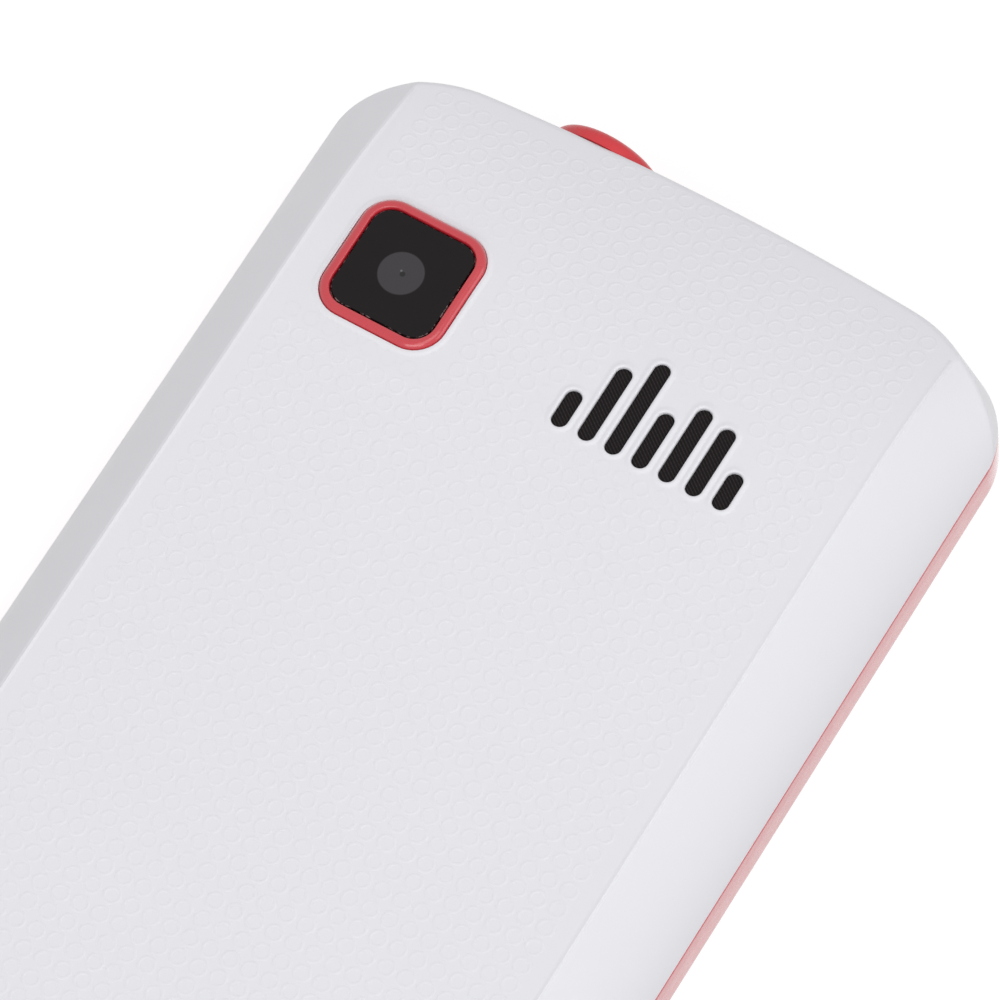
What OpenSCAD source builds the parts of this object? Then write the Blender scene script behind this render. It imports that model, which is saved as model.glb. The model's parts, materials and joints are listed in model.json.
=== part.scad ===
// Candy-bar feature phone, lying face down as when it is put on a table.
// Millimetres. +Z points out of the back cover, +Y towards the top end, X across.
// The front rim rests on Z = 0. Seen from the front, left is +X.

/* [Outline] */
// Width across the frame
body_w = 52; // [50:0.5:58]
// Length of the shells from end to end, without the torch collar
body_l = 122; // [119:0.5:132]
// Thickness from the front rim to the back panel
body_t = 13; // [12.8:0.1:15]
// Radius of the outline's corners
corner_r = 5.5; // [5:0.1:6.5]
// Radius of the shallow arch of both ends
end_arch_r = 200; // [160:5:400]
// Wall of the rear cover and the front housing
shell_wall = 1.2; // [1:0.05:1.4]
// Gap between pieces that fit together
fit_gap = 0.15; // [0.1:0.01:0.2]

/* [Rear cover] */
// Distance from the side to the crease of the back panel
flank_w = 4.8; // [4.4:0.05:5.2]
// Slope of the flank just below the crease, in degrees
crease_angle = 45; // [40:1:48]
// Slope of the flank at the rim, in degrees
rim_angle = 80; // [74:1:86]
// Radius of the gentle bow of the panel towards each end
bow_r = 20.5; // [18:0.5:24]
// Slope where the bow meets the end's edge radius, in degrees
bow_angle = 18; // [14:1:22]
// Edge radius of the ends
edge_r = 3.2; // [2.6:0.1:3.8]
// Length of each locating rib inside the rim
rib_l = 3; // [2:0.5:5]
// Height of each locating rib
rib_h = 3; // [2:0.1:3.4]
// Width of the notch for a fingernail in the rim
notch_w = 7; // [5:0.5:9]
// Height of that notch
notch_h = 0.6; // [0.4:0.1:0.8]

/* [Speaker slots] */
// Lengths of the slots, from left to right
slot_lengths = [2.9, 5.9, 7.4, 4.4, 5.9, 5.4, 2.9];
// Width of a slot
slot_w = 1.21; // [1:0.01:1.5]
// Distance from slot to slot
slot_pitch = 2.07; // [1.9:0.01:2.3]
// Distance from the side to the middle slot
slots_in = 18.8; // [18:0.1:20]
// Wall of the cover at the slots
slot_wall = 0.6; // [0.5:0.05:0.8]
// Thickness of the mesh behind the slots
mesh_t = 0.3; // [0.2:0.05:0.4]

/* [Camera] */
// Side of the square bezel
bezel_w = 9.5; // [8.5:0.1:10.5]
// Rim of the bezel around the glass
bezel_rim = 0.8; // [0.6:0.05:1]
// Corner radius of the bezel
bezel_r = 2.3; // [1.8:0.1:2.8]
// Height of the bezel above the panel
bezel_proud = 0.35; // [0.2:0.05:0.5]
// Depth of the glass below the bezel's rim
glass_sunk = 0.2; // [0.1:0.05:0.3]
// Thickness of the glass
glass_t = 0.8; // [0.6:0.05:0.9]
// Diameter of the clear aperture
aperture_d = 3.1; // [2.6:0.1:3.6]
// Rounding of the bezel's outer edge
bezel_round = 0.25; // [0.15:0.05:0.3]
// Gap around the glass in the bezel
glass_gap = 0.05; // [0.03:0.01:0.08]
// Distance from the side to the middle of the camera
camera_in = 12.3; // [11.5:0.1:13]
// Distance from the top end to the camera
camera_down = 16.4; // [16:0.1:17]
// Distance from the camera to the lower ends of the slots
slots_down = 4.6; // [4.2:0.1:5]
// Side of the camera module
camera_w = 7.2; // [6.5:0.1:7.6]
// Height of the module's square base
camera_base_h = 4.6; // [4:0.1:5]
// Diameter of the lens barrel
barrel_d = 5.4; // [4.6:0.1:5.8]
// Gap around the barrel in the bezel
barrel_gap = 0.25; // [0.15:0.05:0.35]
// Gap between the barrel and the glass
barrel_drop = 0.2; // [0.1:0.05:0.3]
// Depth of the barrel's hollow
barrel_hollow = 0.5; // [0.3:0.1:0.8]
// Gap around the camera module in the chassis
module_gap = 0.3; // [0.2:0.05:0.4]

/* [Torch] */
// Radius of the torch collar
torch_r = 4.3; // [4:0.1:4.4]
// Height of the collar beyond the top end
torch_proud = 1; // [0.8:0.1:1.6]
// Rounding of the collar's edge
torch_edge = 0.8; // [0.4:0.1:0.9]
// Distance from the side to the middle of the torch
torch_in = 17.8; // [16.5:0.1:18]
// Distance of the collar's centre below the parting line
torch_drop = 0.4; // [0.2:0.05:0.5]
// Radius of the clear lens
torch_lens_r = 2.5; // [2:0.1:2.8]
// Thickness of the clear lens
torch_lens_t = 1.5; // [1.2:0.1:1.8]
// Radius of the lamp behind the lens
lamp_r = 1.5; // [1.2:0.1:1.7]
// Height of the lens's dome
lens_dome = 0.25; // [0.1:0.05:0.4]
// Depth of the lens below the collar's rim
lens_sunk = 0.2; // [0.1:0.05:0.3]
// Length of the collar inside the frame
collar_in = 0.6; // [0.4:0.1:0.8]
// Length of the lamp inside the frame
lamp_in = 3.4; // [2.8:0.1:3.6]
// Gap between the lamp and the lens
lamp_drop = 0.3; // [0.2:0.1:0.4]

/* [Frame] */
// Height of the front housing's side wall
front_h = 2.5; // [2.4:0.1:2.7]
// Height of the coloured band
band_h = 3.3; // [3:0.1:3.5]
// Height of the open groove below the cover
groove_h = 0.2; // [0.1:0.05:0.3]
// Depth of that groove
groove_d = 0.6; // [0.4:0.1:0.8]
// Height of the tongue that guides the cover
tongue_h = 0.6; // [0.4:0.1:0.8]
// Thickness of the tongue
tongue_t = 0.7; // [0.6:0.05:0.9]
// Gap between the frame and what lies inside it
frame_gap = 0.1; // [0.05:0.01:0.15]

/* [Front] */
// Step from the frame in to the front housing
front_step = 0.2; // [0.1:0.05:0.3]
// Width of the raised rim around the front
rim_w = 1.2; // [1:0.1:1.3]
// Depth of the front plate below the rim
plate_sunk = 0.8; // [0.7:0.05:0.9]
// Thickness of the front plate
plate_t = 1.2; // [1.1:0.05:1.3]
// Width of the rounding that runs from the frame to the front rim
front_round = 2.2; // [2:0.1:2.4]
// Side wall of the front housing
front_wall = 2.1; // [1.9:0.1:2.3]
// Distance from the side to the display window
window_side = 5; // [4.8:0.1:6]
// Length of the display window
window_l = 53.6; // [52:0.2:54]
// Distance from the top end to the window
window_down = 8.3; // [8.1:0.1:8.8]
// Thickness of the window
window_t = 1; // [0.8:0.05:1.05]
// Height of the window above the front plate
window_proud = 0.3; // [0.2:0.05:0.4]
// Corner radius of the window
window_r = 2; // [1.5:0.1:2.5]
// Margin of the window beside the visible picture
picture_side = 2.6; // [2.3:0.1:3]
// Margin of the window above and below the visible picture
picture_end = 2.3; // [2.1:0.1:2.8]
// Margin of the opening behind the window around the picture
picture_margin = 0.5; // [0.2:0.1:0.8]
// Margin of the window beside the display module
display_side = 1; // [0.8:0.1:1.5]
// Length of the display module beyond the window
display_over = 0.4; // [0:0.1:0.6]
// Distance from the window's middle up to the display's
display_up = 0.2; // [0.1:0.05:0.25]
// Thickness of the display module
display_t = 1.9; // [1.5:0.05:1.95]
// Width of the earpiece slot
ear_slot_w = 11; // [9:0.5:12]
// Height of the earpiece slot
ear_slot_h = 1.5; // [1.2:0.1:1.8]
// Distance from the top end to the earpiece
ear_down = 5.4; // [5.2:0.1:5.6]
// Width of the earpiece speaker
ear_w = 12; // [10:0.5:13]
// Height of the earpiece speaker
ear_l = 4.2; // [4:0.1:4.3]
// Thickness of the earpiece speaker
ear_t = 1.8; // [1.4:0.1:1.9]
// Width of the seat for the earpiece mesh
ear_seat = 0.7; // [0.5:0.05:0.8]
// Depth of that seat
ear_seat_t = 0.6; // [0.4:0.05:0.7]
// Radius of the hole for the microphone
mic_hole_r = 0.45; // [0.3:0.05:0.6]
// Radius of the microphone
mic_r = 1.5; // [1.2:0.1:1.6]
// Height of the microphone
mic_h = 1.2; // [1:0.1:1.4]
// Distance from the bottom end to the microphone
mic_up = 4.3; // [4.1:0.1:4.4]
// Radius of the microphone's own hole
mic_port_r = 0.4; // [0.3:0.05:0.5]
// Depth of that hole
mic_port_l = 0.3; // [0.2:0.05:0.4]

/* [Keys] */
// Distance from the side to the keypad
pad_side = 4.9; // [4.8:0.1:6]
// Distance from the window down to the keypad
pad_down = 5.5; // [5.4:0.1:6.5]
// Distance from the bottom end up to the keypad
pad_up = 6.55; // [6.5:0.05:7.5]
// Gap between the columns of number keys
column_gap = 1; // [0.9:0.05:1.6]
// Gap between the rows of number keys
row_gap = 0.9; // [0.85:0.05:1.4]
// Gap between the two rows of function keys
function_gap = 3.2; // [1.4:0.1:4]
// Gap between the function keys and the number keys
group_gap = 2.95; // [2.6:0.05:3.6]
// Gap between the navigation ring and the function keys beside it
nav_side = 1.6; // [1.4:0.1:2.4]
// Height of the navigation ring beyond the two rows beside it
nav_over = 0.7; // [0.2:0.1:1.2]
// Share of the navigation ring's width that the key inside it takes
ok_share = 0.435; // [0.4:0.005:0.46]
// Height of the keys above the front plate
key_proud = 0.35; // [0.2:0.05:0.4]
// Width of the flange around a key
flange_w = 0.3; // [0.2:0.05:0.32]
// Thickness of that flange
flange_t = 0.7; // [0.5:0.05:0.8]
// Gap around a key in the front plate
key_gap = 0.2; // [0.15:0.01:0.25]
// Travel of a key
key_travel = 0.25; // [0.2:0.01:0.3]
// Corner radius of the keys
key_r = 1.8; // [1.4:0.1:2.2]
// Bevel around a key's face
key_bevel = 0.3; // [0.2:0.05:0.35]
// Gap between a pressed key and the mat
mat_clear = 0.25; // [0.2:0.01:0.3]
// Thickness of the key mat
mat_t = 0.4; // [0.3:0.05:0.5]
// Thickness of the dome sheet
dome_t = 0.2; // [0.15:0.05:0.25]
// Radius of a dome
dome_r = 2.1; // [1.8:0.1:2.5]
// Height of a dome
dome_h = 0.15; // [0.1:0.01:0.18]
// Gap between a dome and the mat
dome_clear = 0.05; // [0.04:0.01:0.1]
// Margin of the mat around the keys
mat_margin = 0.3; // [0.2:0.05:0.4]
// Width of the mat's rim
mat_rim = 0.6; // [0.4:0.05:0.8]
// Corner radius of the mat
mat_r = 2; // [1.5:0.1:2.5]

/* [Navigation] */
// Corner radius of the ring
nav_r = 4.5; // [3.5:0.1:5.5]
// Corner radius of the key inside the ring
ok_r = 2; // [1.6:0.1:2.4]
// Gap between the ring and the key inside it
ok_gap = 0.3; // [0.25:0.01:0.35]
// Room for the ring to tip below the plate, and above the plunger
nav_lift = 0.4; // [0.38:0.01:0.43]
// Thickness of the ring's flange
nav_flange_t = 0.4; // [0.35:0.01:0.43]
// Width of the ring's flange
nav_flange_w = 0.5; // [0.4:0.05:0.55]
// Width of the plunger's rim
plunger_rim = 2; // [1.6:0.1:2.2]
// Thickness of the plunger
plunger_t = 0.3; // [0.25:0.01:0.35]
// Radius of a round foot of the plunger
foot_r = 0.3; // [0.25:0.01:0.32]
// Length of a foot of the plunger
foot_l = 1.2; // [0.8:0.1:1.6]
// Gap left below a foot
foot_gap = 0.03; // [0.02:0.01:0.05]
// Gap around the plunger in the mat
plunger_gap = 0.4; // [0.3:0.05:0.5]

/* [Board] */
// Gap between the display and the circuit board
board_clear = 0.1; // [0.05:0.05:0.2]
// Thickness of the circuit board
board_t = 0.8; // [0.7:0.05:0.9]
// Width of the shield can
can_w = 30; // [20:1:34]
// Length of the shield can
can_l = 24; // [16:1:28]
// Height of the shield can
can_h = 1.4; // [1:0.1:1.5]
// Radius of a screw's thread
screw_r = 0.8; // [0.6:0.05:0.9]
// Radius of a screw's head
screw_head_r = 1.4; // [1.2:0.05:1.5]
// Height of a screw's head
screw_head_h = 0.8; // [0.6:0.05:0.9]
// Wall of a screw boss
boss_wall = 0.7; // [0.6:0.05:0.75]
// Gap around a screw's thread
screw_gap = 0.1; // [0.05:0.01:0.15]
// Depth of material below a screw hole
boss_floor = 0.4; // [0.3:0.05:0.5]
// Gap below a screw's tip
tip_gap = 0.3; // [0.2:0.05:0.5]
// Distance of the top screws from the side
top_screw_in = 8; // [7.8:0.1:8.6]
// Distance of the top screws from the top end
top_screw_down = 6.1; // [6:0.05:6.2]
// Distance of the middle screws from the side
mid_screw_in = 4.7; // [4.6:0.1:4.9]
// Distance of the middle screws below the window
mid_screw_down = 3; // [2.6:0.1:3.2]
// Distance of the lower screws from the middle
low_screw_x = 7.5; // [7.2:0.1:7.8]
// Distance of the lower screws from the bottom end
low_screw_up = 4.5; // [4.4:0.05:4.6]
// Gap between the board's edge and the frame
board_edge_gap = 0.25; // [0.2:0.05:0.4]
// Distance from the battery's middle up to the shield can's
can_up = 4; // [0:0.5:8]

/* [Chassis] */
// Room for parts between the board and the chassis floor
parts_h = 1.7; // [1.6:0.05:1.9]
// Thickness of the chassis floor
floor_t = 0.6; // [0.5:0.05:0.7]
// Side wall below the chassis floor
skirt_wall = 0.9; // [0.7:0.1:1.2]
// Gap between that wall and the board
skirt_gap = 0.05; // [0.03:0.01:0.1]
// Distance of the upper deck below the cover
deck_gap = 0.5; // [0.4:0.05:0.6]
// Height of the lower deck above the floor
low_deck_h = 2.5; // [2:0.1:2.6]
// Length of the lower deck
low_deck_l = 11.8; // [11:0.1:12]
// Thickness of the battery bay's walls
bay_wall = 1.2; // [1:0.1:1.4]
// Height of the battery bay's walls
bay_h = 2.6; // [2:0.1:3]
// Distance from the side to the battery
battery_side = 8; // [7.8:0.1:9]
// Length of the battery
battery_l = 50; // [46:0.5:50]
// Thickness of the battery
battery_t = 4.3; // [3.5:0.1:4.5]
// Corner radius of the battery
battery_r = 2; // [1:0.1:3]
// Gap around the battery
battery_gap = 0.3; // [0.2:0.05:0.5]
// Width of one battery contact
contact_w = 1.6; // [1.2:0.1:2]
// Distance between the battery contacts
contact_pitch = 3; // [2.6:0.1:3.5]
// Width of the block that holds the contacts
contact_block_w = 13; // [12:0.5:16]
// Depth of that block
contact_block_l = 2.6; // [2.2:0.1:3]
// Wall around the contacts in that block
contact_wall = 0.6; // [0.5:0.1:0.8]
// Sheet thickness of the contacts
contact_t = 0.3; // [0.2:0.05:0.35]
// Height of a contact's bent end
contact_h = 1.8; // [1.4:0.1:2]
// Gap beside the contacts, and in front of the battery
contact_gap = 0.05; // [0.03:0.01:0.1]
// Width of a SIM card
sim_w = 25; // [24.5:0.1:25.2]
// Thickness of a SIM card
sim_t = 0.8; // [0.6:0.05:0.9]
// Sheet thickness of the card holders
holder_t = 0.3; // [0.2:0.05:0.4]
// Gap between the SIM holders, and to the battery bay
holder_gap = 0.6; // [0.4:0.1:0.8]
// Gap between the SIM holders and the memory card's holder
card_gap = 1.5; // [0.6:0.1:1.6]
// Distance of the memory card's holder below the first SIM holder
card_down = 1; // [0:0.1:2]
// Width of a memory card
card_w = 11; // [10.8:0.1:11.2]
// Thickness of a memory card
card_t = 1; // [0.7:0.05:1.1]

/* [Sound] */
// Width of the loudspeaker
speaker_w = 18; // [17:0.5:19]
// Length of the loudspeaker
speaker_l = 13; // [12:0.5:13]
// Height of the loudspeaker
speaker_h = 3.3; // [2.8:0.1:3.6]
// Wall of the speaker's gasket
gasket_wall = 1; // [0.8:0.1:1.2]
// Gap between the gasket and the cover
gasket_gap = 0.2; // [0.1:0.05:0.3]
// Rim of the loudspeaker around its diaphragm
speaker_rim = 1.5; // [1.2:0.1:2]
// Depth of the diaphragm below that rim
diaphragm_down = 0.4; // [0.2:0.1:0.6]
// Corner radius of the loudspeaker
speaker_r = 2; // [1.6:0.1:2.4]

/* [Sockets and motor] */
// Diameter of the headphone plug's bore
jack_d = 3.5; // [3.5:0.05:3.6]
// Depth of that bore
jack_depth = 12; // [11.5:0.1:12.5]
// Width of the jack's body
jack_w = 6.2; // [5.6:0.1:6.4]
// Height of the jack's body
jack_h = 4.8; // [4.7:0.05:5]
// Wall of the jack's nose
jack_nose_wall = 0.6; // [0.5:0.02:0.64]
// Depth of the nose below the end's surface
jack_sunk = 0.3; // [0.2:0.05:0.5]
// Material behind the bore
jack_back = 0.9; // [0.6:0.1:1.2]
// Distance from the side to the middle of the jack
jack_in = 12; // [11.6:0.1:12.4]
// Width of the charging socket
usb_w = 7.6; // [7.4:0.05:8]
// Height of the charging socket
usb_h = 2.6; // [2.5:0.05:2.8]
// Depth of the charging socket
usb_l = 5.2; // [5:0.1:5.6]
// Sheet thickness of the charging socket
usb_wall = 0.3; // [0.25:0.05:0.4]
// Depth of the charging socket below the end's surface
usb_sunk = 0.5; // [0.3:0.05:0.7]
// Gap around the charging socket
usb_gap = 0.3; // [0.2:0.05:0.4]
// Thickness of the tongue in the charging socket
usb_tongue_t = 0.6; // [0.5:0.05:0.7]
// Depth of that tongue below the mouth
usb_tongue_in = 0.8; // [0.6:0.1:1]
// Radius of the vibration motor
motor_r = 1.8; // [1.6:0.05:1.9]
// Length of the vibration motor
motor_l = 8; // [7:0.1:8.5]
// Length of the motor's weight
weight_l = 3; // [2.5:0.1:3.2]
// Radius of the motor's shaft
shaft_r = 0.4; // [0.3:0.05:0.5]
// Running gap around the shaft
shaft_gap = 0.05; // [0.03:0.01:0.08]
// Distance from the side to the motor
motor_in = 9.6; // [9.4:0.1:10.4]
// Gap between the motor's weight and what is around it
weight_gap = 0.4; // [0.35:0.05:0.5]
// Gap below the motor
motor_lift = 0.1; // [0.05:0.01:0.15]
// Width of the antenna's strips
antenna_strip = 1.2; // [0.8:0.1:1.4]
// Distance from strip to strip
antenna_step = 2.4; // [2:0.1:2.6]
// Length of the antenna's strips
antenna_l = 3.5; // [2.5:0.1:3.5]
// Thickness of the antenna
antenna_t = 0.2; // [0.1:0.05:0.3]

/* [Hidden] */
corner_steps = 10;
end_steps = 5;
bow_steps = 3;
flank_steps = 3;
edge_steps = 5;
round_steps = 4;
$fn = 48;
through = 1;
end_room = 2;
white = [0.92, 0.92, 0.94];
red = [0.8, 0.18, 0.22];
black = [0.08, 0.08, 0.09];
dark = [0.2, 0.2, 0.22];
steel = [0.75, 0.76, 0.78];
gold = [0.85, 0.7, 0.35];
green = [0.12, 0.4, 0.22];
key_white = [0.88, 0.88, 0.9];

// Levels, from the front rim up
z_plate = plate_sunk;
z_inner = z_plate + plate_t;
z_key = z_plate - key_proud;
z_window = z_plate - window_proud;
mat_stack = mat_t + dome_h + dome_clear + dome_t;
board_gap = max(display_t + board_clear, flange_t + key_travel + mat_clear + mat_stack);
z_board = z_inner + board_gap;
z_board_top = z_board + board_t;
z_floor = z_board_top + parts_h + floor_t;
z_band = front_h;
z_groove = z_band + band_h;
z_cover = z_groove + groove_h;
z_deck = body_t - shell_wall - deck_gap;
z_torch = z_cover - torch_drop;
z_tip = z_inner + boss_floor + tip_gap;
z_mat = z_board - mat_stack;
z_dome = z_board - dome_t;
nav_back = z_inner + nav_lift + nav_flange_t;
z_plunger = nav_back + nav_lift;
z_glass = body_t + bezel_proud - glass_sunk - glass_t;

// Places along the phone
half_w = body_w / 2;
half_l = body_l / 2;
y_mid = -torch_proud / 2;
y_top = y_mid + half_l;
y_bot = y_mid - half_l;
lens_y = y_top + torch_proud - lens_sunk - torch_lens_t;
torch_x = -half_w + torch_in;
camera_x = -half_w + camera_in;
slots_x = half_w - slots_in;
camera_y = y_top - camera_down;
slots_y = camera_y - slots_down;
slot_count = len(slot_lengths);
slots_w = (slot_count - 1) * slot_pitch + slot_w;
slots_l = max(slot_lengths);
mesh_margin = 1;
speaker_x = slots_x;
speaker_y = slots_y + slots_l / 2;
window_w = body_w - 2 * window_side;
window_y = y_top - window_down - window_l / 2;
picture_w = window_w - 2 * picture_side;
picture_l = window_l - 2 * picture_end;
display_w = window_w - 2 * display_side;
display_l = window_l + display_over;
ear_y = y_top - ear_down;
pad_w = body_w - 2 * pad_side;
pad_top = window_y - window_l / 2 - pad_down;
pad_bottom = y_bot + pad_up;
key_h = (pad_top - pad_bottom - function_gap - group_gap - 3 * row_gap) / 6;
number_w = (pad_w - 2 * column_gap) / 3;
column_pitch = number_w + column_gap;
row_pitch = key_h + row_gap;
nav_w = 2 * key_h + function_gap + nav_over;
ok_w = ok_share * nav_w;
function_w = (pad_w - nav_w) / 2 - nav_side;
function_x = (pad_w - function_w) / 2;
soft_y = pad_top - key_h / 2;
call_y = soft_y - key_h - function_gap;
nav_y = (soft_y + call_y) / 2;
number_y = call_y - key_h - group_gap;
mat_top = pad_top + mat_margin;
mat_bottom = pad_bottom - mat_margin;
mat_y = (mat_top + mat_bottom) / 2;
mat_l = mat_top - mat_bottom;
mat_w = pad_w + 2 * mat_margin;
ok_hole = ok_w + 2 * ok_gap;
plunger_hole = ok_hole + 2 * key_gap;
plunger_w = plunger_hole + 2 * plunger_rim;
deck_y = speaker_y - speaker_l / 2 - fit_gap - bay_wall;
battery_w = body_w - 2 * battery_side;
battery_y = deck_y - battery_gap - battery_l / 2;
bay_y = battery_y - battery_l / 2 - battery_gap - bay_wall;
contact_y = bay_y - contact_block_l + contact_wall;
z_contact = z_floor + floor_t;
sim_hold_w = sim_w + 2 * holder_t;
holders_top = bay_y - contact_block_l;
holders_bottom = y_bot + low_deck_l;
sim_hold_l = (holders_top - holders_bottom - 3 * holder_gap) / 2;
sim_1_y = holders_top - holder_gap - sim_hold_l / 2;
sim_2_y = sim_1_y - sim_hold_l - holder_gap;
card_hold_w = card_w + 2 * holder_t;
card_hold_l = sim_hold_l;
sim_x = -(card_gap + card_hold_w) / 2;
card_x = sim_x + sim_hold_w / 2 + card_gap + card_hold_w / 2;
card_y = sim_1_y - card_down;
jack_x = half_w - jack_in;
jack_y = y_bot + arch(jack_x) + jack_sunk;
z_jack = z_board_top + jack_h / 2;
jack_nose_r = jack_d / 2 + jack_nose_wall;
usb_y = y_bot + usb_sunk;
motor_x = -half_w + motor_in;
motor_y = y_bot + low_deck_l - motor_r - 2 * weight_gap;
z_motor = z_floor + motor_r + motor_lift;
mic_y = y_bot + mic_up;

// Fits around the edge
cover_h = body_t - z_cover;
tongue_inset = shell_wall + flank_inset(tongue_h + shell_wall) + fit_gap;
band_wall = tongue_inset + tongue_t;
chassis_inset = band_wall + frame_gap;
board_inset = band_wall + board_edge_gap;
rib_places = [-0.62, -0.2, 0.3];
// The band's insets and heights from its lower edge to its upper one
band_profile = [[0.04, 0], [0, 0.1], [0, 0.6], [0.03, 0.85], [0.14, 1]];
screw_hole_r = screw_r + screw_gap;
boss_r = screw_hole_r + boss_wall;
screw_places = [
    for (side = [-1, 1]) [side * (half_w - top_screw_in), y_top - top_screw_down],
    for (side = [-1, 1]) [side * (half_w - mid_screw_in), window_y - window_l / 2 - mid_screw_down],
    for (side = [-1, 1]) [side * low_screw_x, y_bot + low_screw_up]
];

// Outline of the phone: straight sides, round corners, shallow arched ends

function arch(x) = end_arch_r - sqrt(end_arch_r * end_arch_r - x * x);

// From the side to the middle of the top end, with the end cut back by a straight line
function quarter(hw, hl, r, cut) =
    let (
        depth = max(r, 1.15 * cut),
        reach = asin(1 - cut / depth),
        end_x = hw - r + r * cos(reach)
    )
    concat(
        [for (i = [0:corner_steps]) let (a = reach * i / corner_steps)
            [hw - r + r * cos(a), hl - depth + depth * sin(a)]],
        [for (i = [1:end_steps]) [end_x * (1 - i / end_steps), hl - cut]]
    );

function arched(points) = [for (p = points) [p.x, p.y - arch(p.x)]];

function mirrored(points) = [for (i = [len(points) - 2:-1:0]) [-points[i].x, points[i].y]];

function outline(side, end, r, cut = 0) =
    let (
        q = arched(quarter(half_w - side, half_l - end, r, cut)),
        top = concat(q, mirrored(q))
    )
    concat([for (p = top) [p.x, y_mid + p.y]], [for (p = top) [-p.x, y_mid - p.y]]);

function inset_outline(inset) = outline(inset, inset, max(2, corner_r - inset));

// Side profile of the rear cover: a curve from the rim to the crease with set end slopes

function flank_s() =
    (flank_w * tan(rim_angle) - cover_h) / (cos(crease_angle) * tan(rim_angle) - sin(crease_angle));

function flank_mid() =
    [flank_w - flank_s() * cos(crease_angle), cover_h - flank_s() * sin(crease_angle)];

function flank_u(h) =
    let (m = flank_mid(), a = cover_h - 2 * m.y, b = 2 * m.y)
    abs(a) < 0.001 ? h / b : (sqrt(b * b + 4 * a * h) - b) / (2 * a);

function flank_inset(h) =
    let (u = flank_u(max(0, h)))
    2 * u * (1 - u) * flank_mid().x + u * u * flank_w;

// End profile of the rear cover: a gentle bow, then a tighter edge radius

bow_drop = bow_r * (1 - cos(bow_angle));
edge_drop = bow_drop + edge_r * cos(bow_angle);

function end_cut(drop) =
    drop <= bow_drop
        ? bow_r * (sin(bow_angle) - sin(acos(1 - drop / bow_r))) + edge_r * (1 - sin(bow_angle))
        : drop < edge_drop
            ? edge_r * (1 - sin(acos(cos(bow_angle) - (drop - bow_drop) / edge_r)))
            : 0;

// Drops below the panel at which the cover has a ring of points, from the rim up
cover_drops = concat(
    [for (i = [0:flank_steps - 1]) cover_h - (cover_h - edge_drop) * i / flank_steps],
    [for (i = [edge_steps:-1:1]) let (a = bow_angle + (90 - bow_angle) * i / edge_steps)
        bow_drop + edge_r * (cos(bow_angle) - cos(a))],
    [for (i = [bow_steps:-1:0]) bow_r * (1 - cos(bow_angle * i / bow_steps))]
);

// Solid through a stack of rings that all have the same number of points
module loft(rings, levels) {
    n = len(rings[0]);
    top = len(rings) - 1;
    points = [for (k = [0:top]) for (p = rings[k]) [p.x, p.y, levels[k]]];
    sides = [for (k = [0:top - 1]) for (i = [0:n - 1]) let (j = (i + 1) % n)
        each [[k * n + i, (k + 1) * n + i, (k + 1) * n + j], [k * n + i, (k + 1) * n + j, k * n + j]]];
    bottom_cap = [for (i = [0:n - 1]) i];
    top_cap = [for (i = [n - 1:-1:0]) top * n + i];
    polyhedron(points, concat(sides, [bottom_cap, top_cap]));
}

module prism(points, z0, z1) {
    translate([0, 0, z0]) linear_extrude(z1 - z0) polygon(points);
}

module edge_prism(inset, z0, z1) {
    prism(inset_outline(inset), z0, z1);
}

module box(x0, x1, y0, y1, z0, z1) {
    translate([x0, y0, z0]) cube([x1 - x0, y1 - y0, z1 - z0]);
}

// Rounded rectangle as a list of points
function rounded(x, y, w, l, r) = [
    for (c = [[1, 1, 0], [-1, 1, 90], [-1, -1, 180], [1, -1, 270]])
        for (i = [0:round_steps]) let (a = c.z + 90 * i / round_steps)
            [x + c.x * (w / 2 - r) + r * cos(a), y + c.y * (l / 2 - r) + r * sin(a)]
];

module block(x, y, w, l, r, z0, z1) {
    prism(rounded(x, y, w, l, r), z0, z1);
}

// Cylinder along +Y
module rod_y(x, z, r, y0, y1) {
    translate([x, y0, z]) rotate([-90, 0, 0]) cylinder(r = r, h = y1 - y0);
}

// Cylinder along +X
module rod_x(y, z, r, x0, x1) {
    translate([x0, y, z]) rotate([0, 90, 0]) cylinder(r = r, h = x1 - x0);
}

// The rear cover's outer form, moved inwards on all sides by an inset
module cover_form(inset) {
    loft(
        [for (d = cover_drops)
            outline(inset + flank_inset(cover_h - d), inset, corner_r - inset, end_cut(d))],
        [for (d = cover_drops) body_t - inset - d]
    );
}

// Front

module front_housing() color(white) {
    angles = [for (i = [0:edge_steps]) 90 * i / edge_steps];
    difference() {
        loft(
            [for (a = angles) inset_outline(front_step + front_round * (1 - sin(a)))],
            [for (a = angles) front_h * (1 - cos(a))]
        );
        edge_prism(front_wall, z_inner, front_h + through);
        edge_prism(front_step + front_round + rim_w, -through, z_plate);
        block(0, window_y, window_w + 2 * fit_gap, window_l + 2 * fit_gap, window_r,
            -through, z_window + window_t);
        block(0, window_y, picture_w + 2 * picture_margin, picture_l + 2 * picture_margin, 1,
            -through, z_inner + through);
        block(0, ear_y, ear_slot_w, ear_slot_h, ear_slot_h / 2 - 0.01, -through, z_inner + through);
        ear_block(0, z_inner - ear_seat_t, z_inner + through);
        for (k = number_keys()) key_hole(k.x, k.y, number_w, key_h, key_r);
        for (k = function_keys()) key_hole(k.x, k.y, function_w, key_h, key_r);
        key_hole(0, nav_y, nav_w, nav_w, nav_r);
        translate([0, mic_y, -through]) cylinder(r = mic_hole_r, h = z_inner + 2 * through);
        collar_room();
    }
    for (p = screw_places) difference() {
        translate([p.x, p.y, z_inner]) cylinder(r = boss_r, h = board_gap);
        translate([p.x, p.y, z_inner + boss_floor]) cylinder(r = screw_hole_r, h = board_gap);
    }
}

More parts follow.
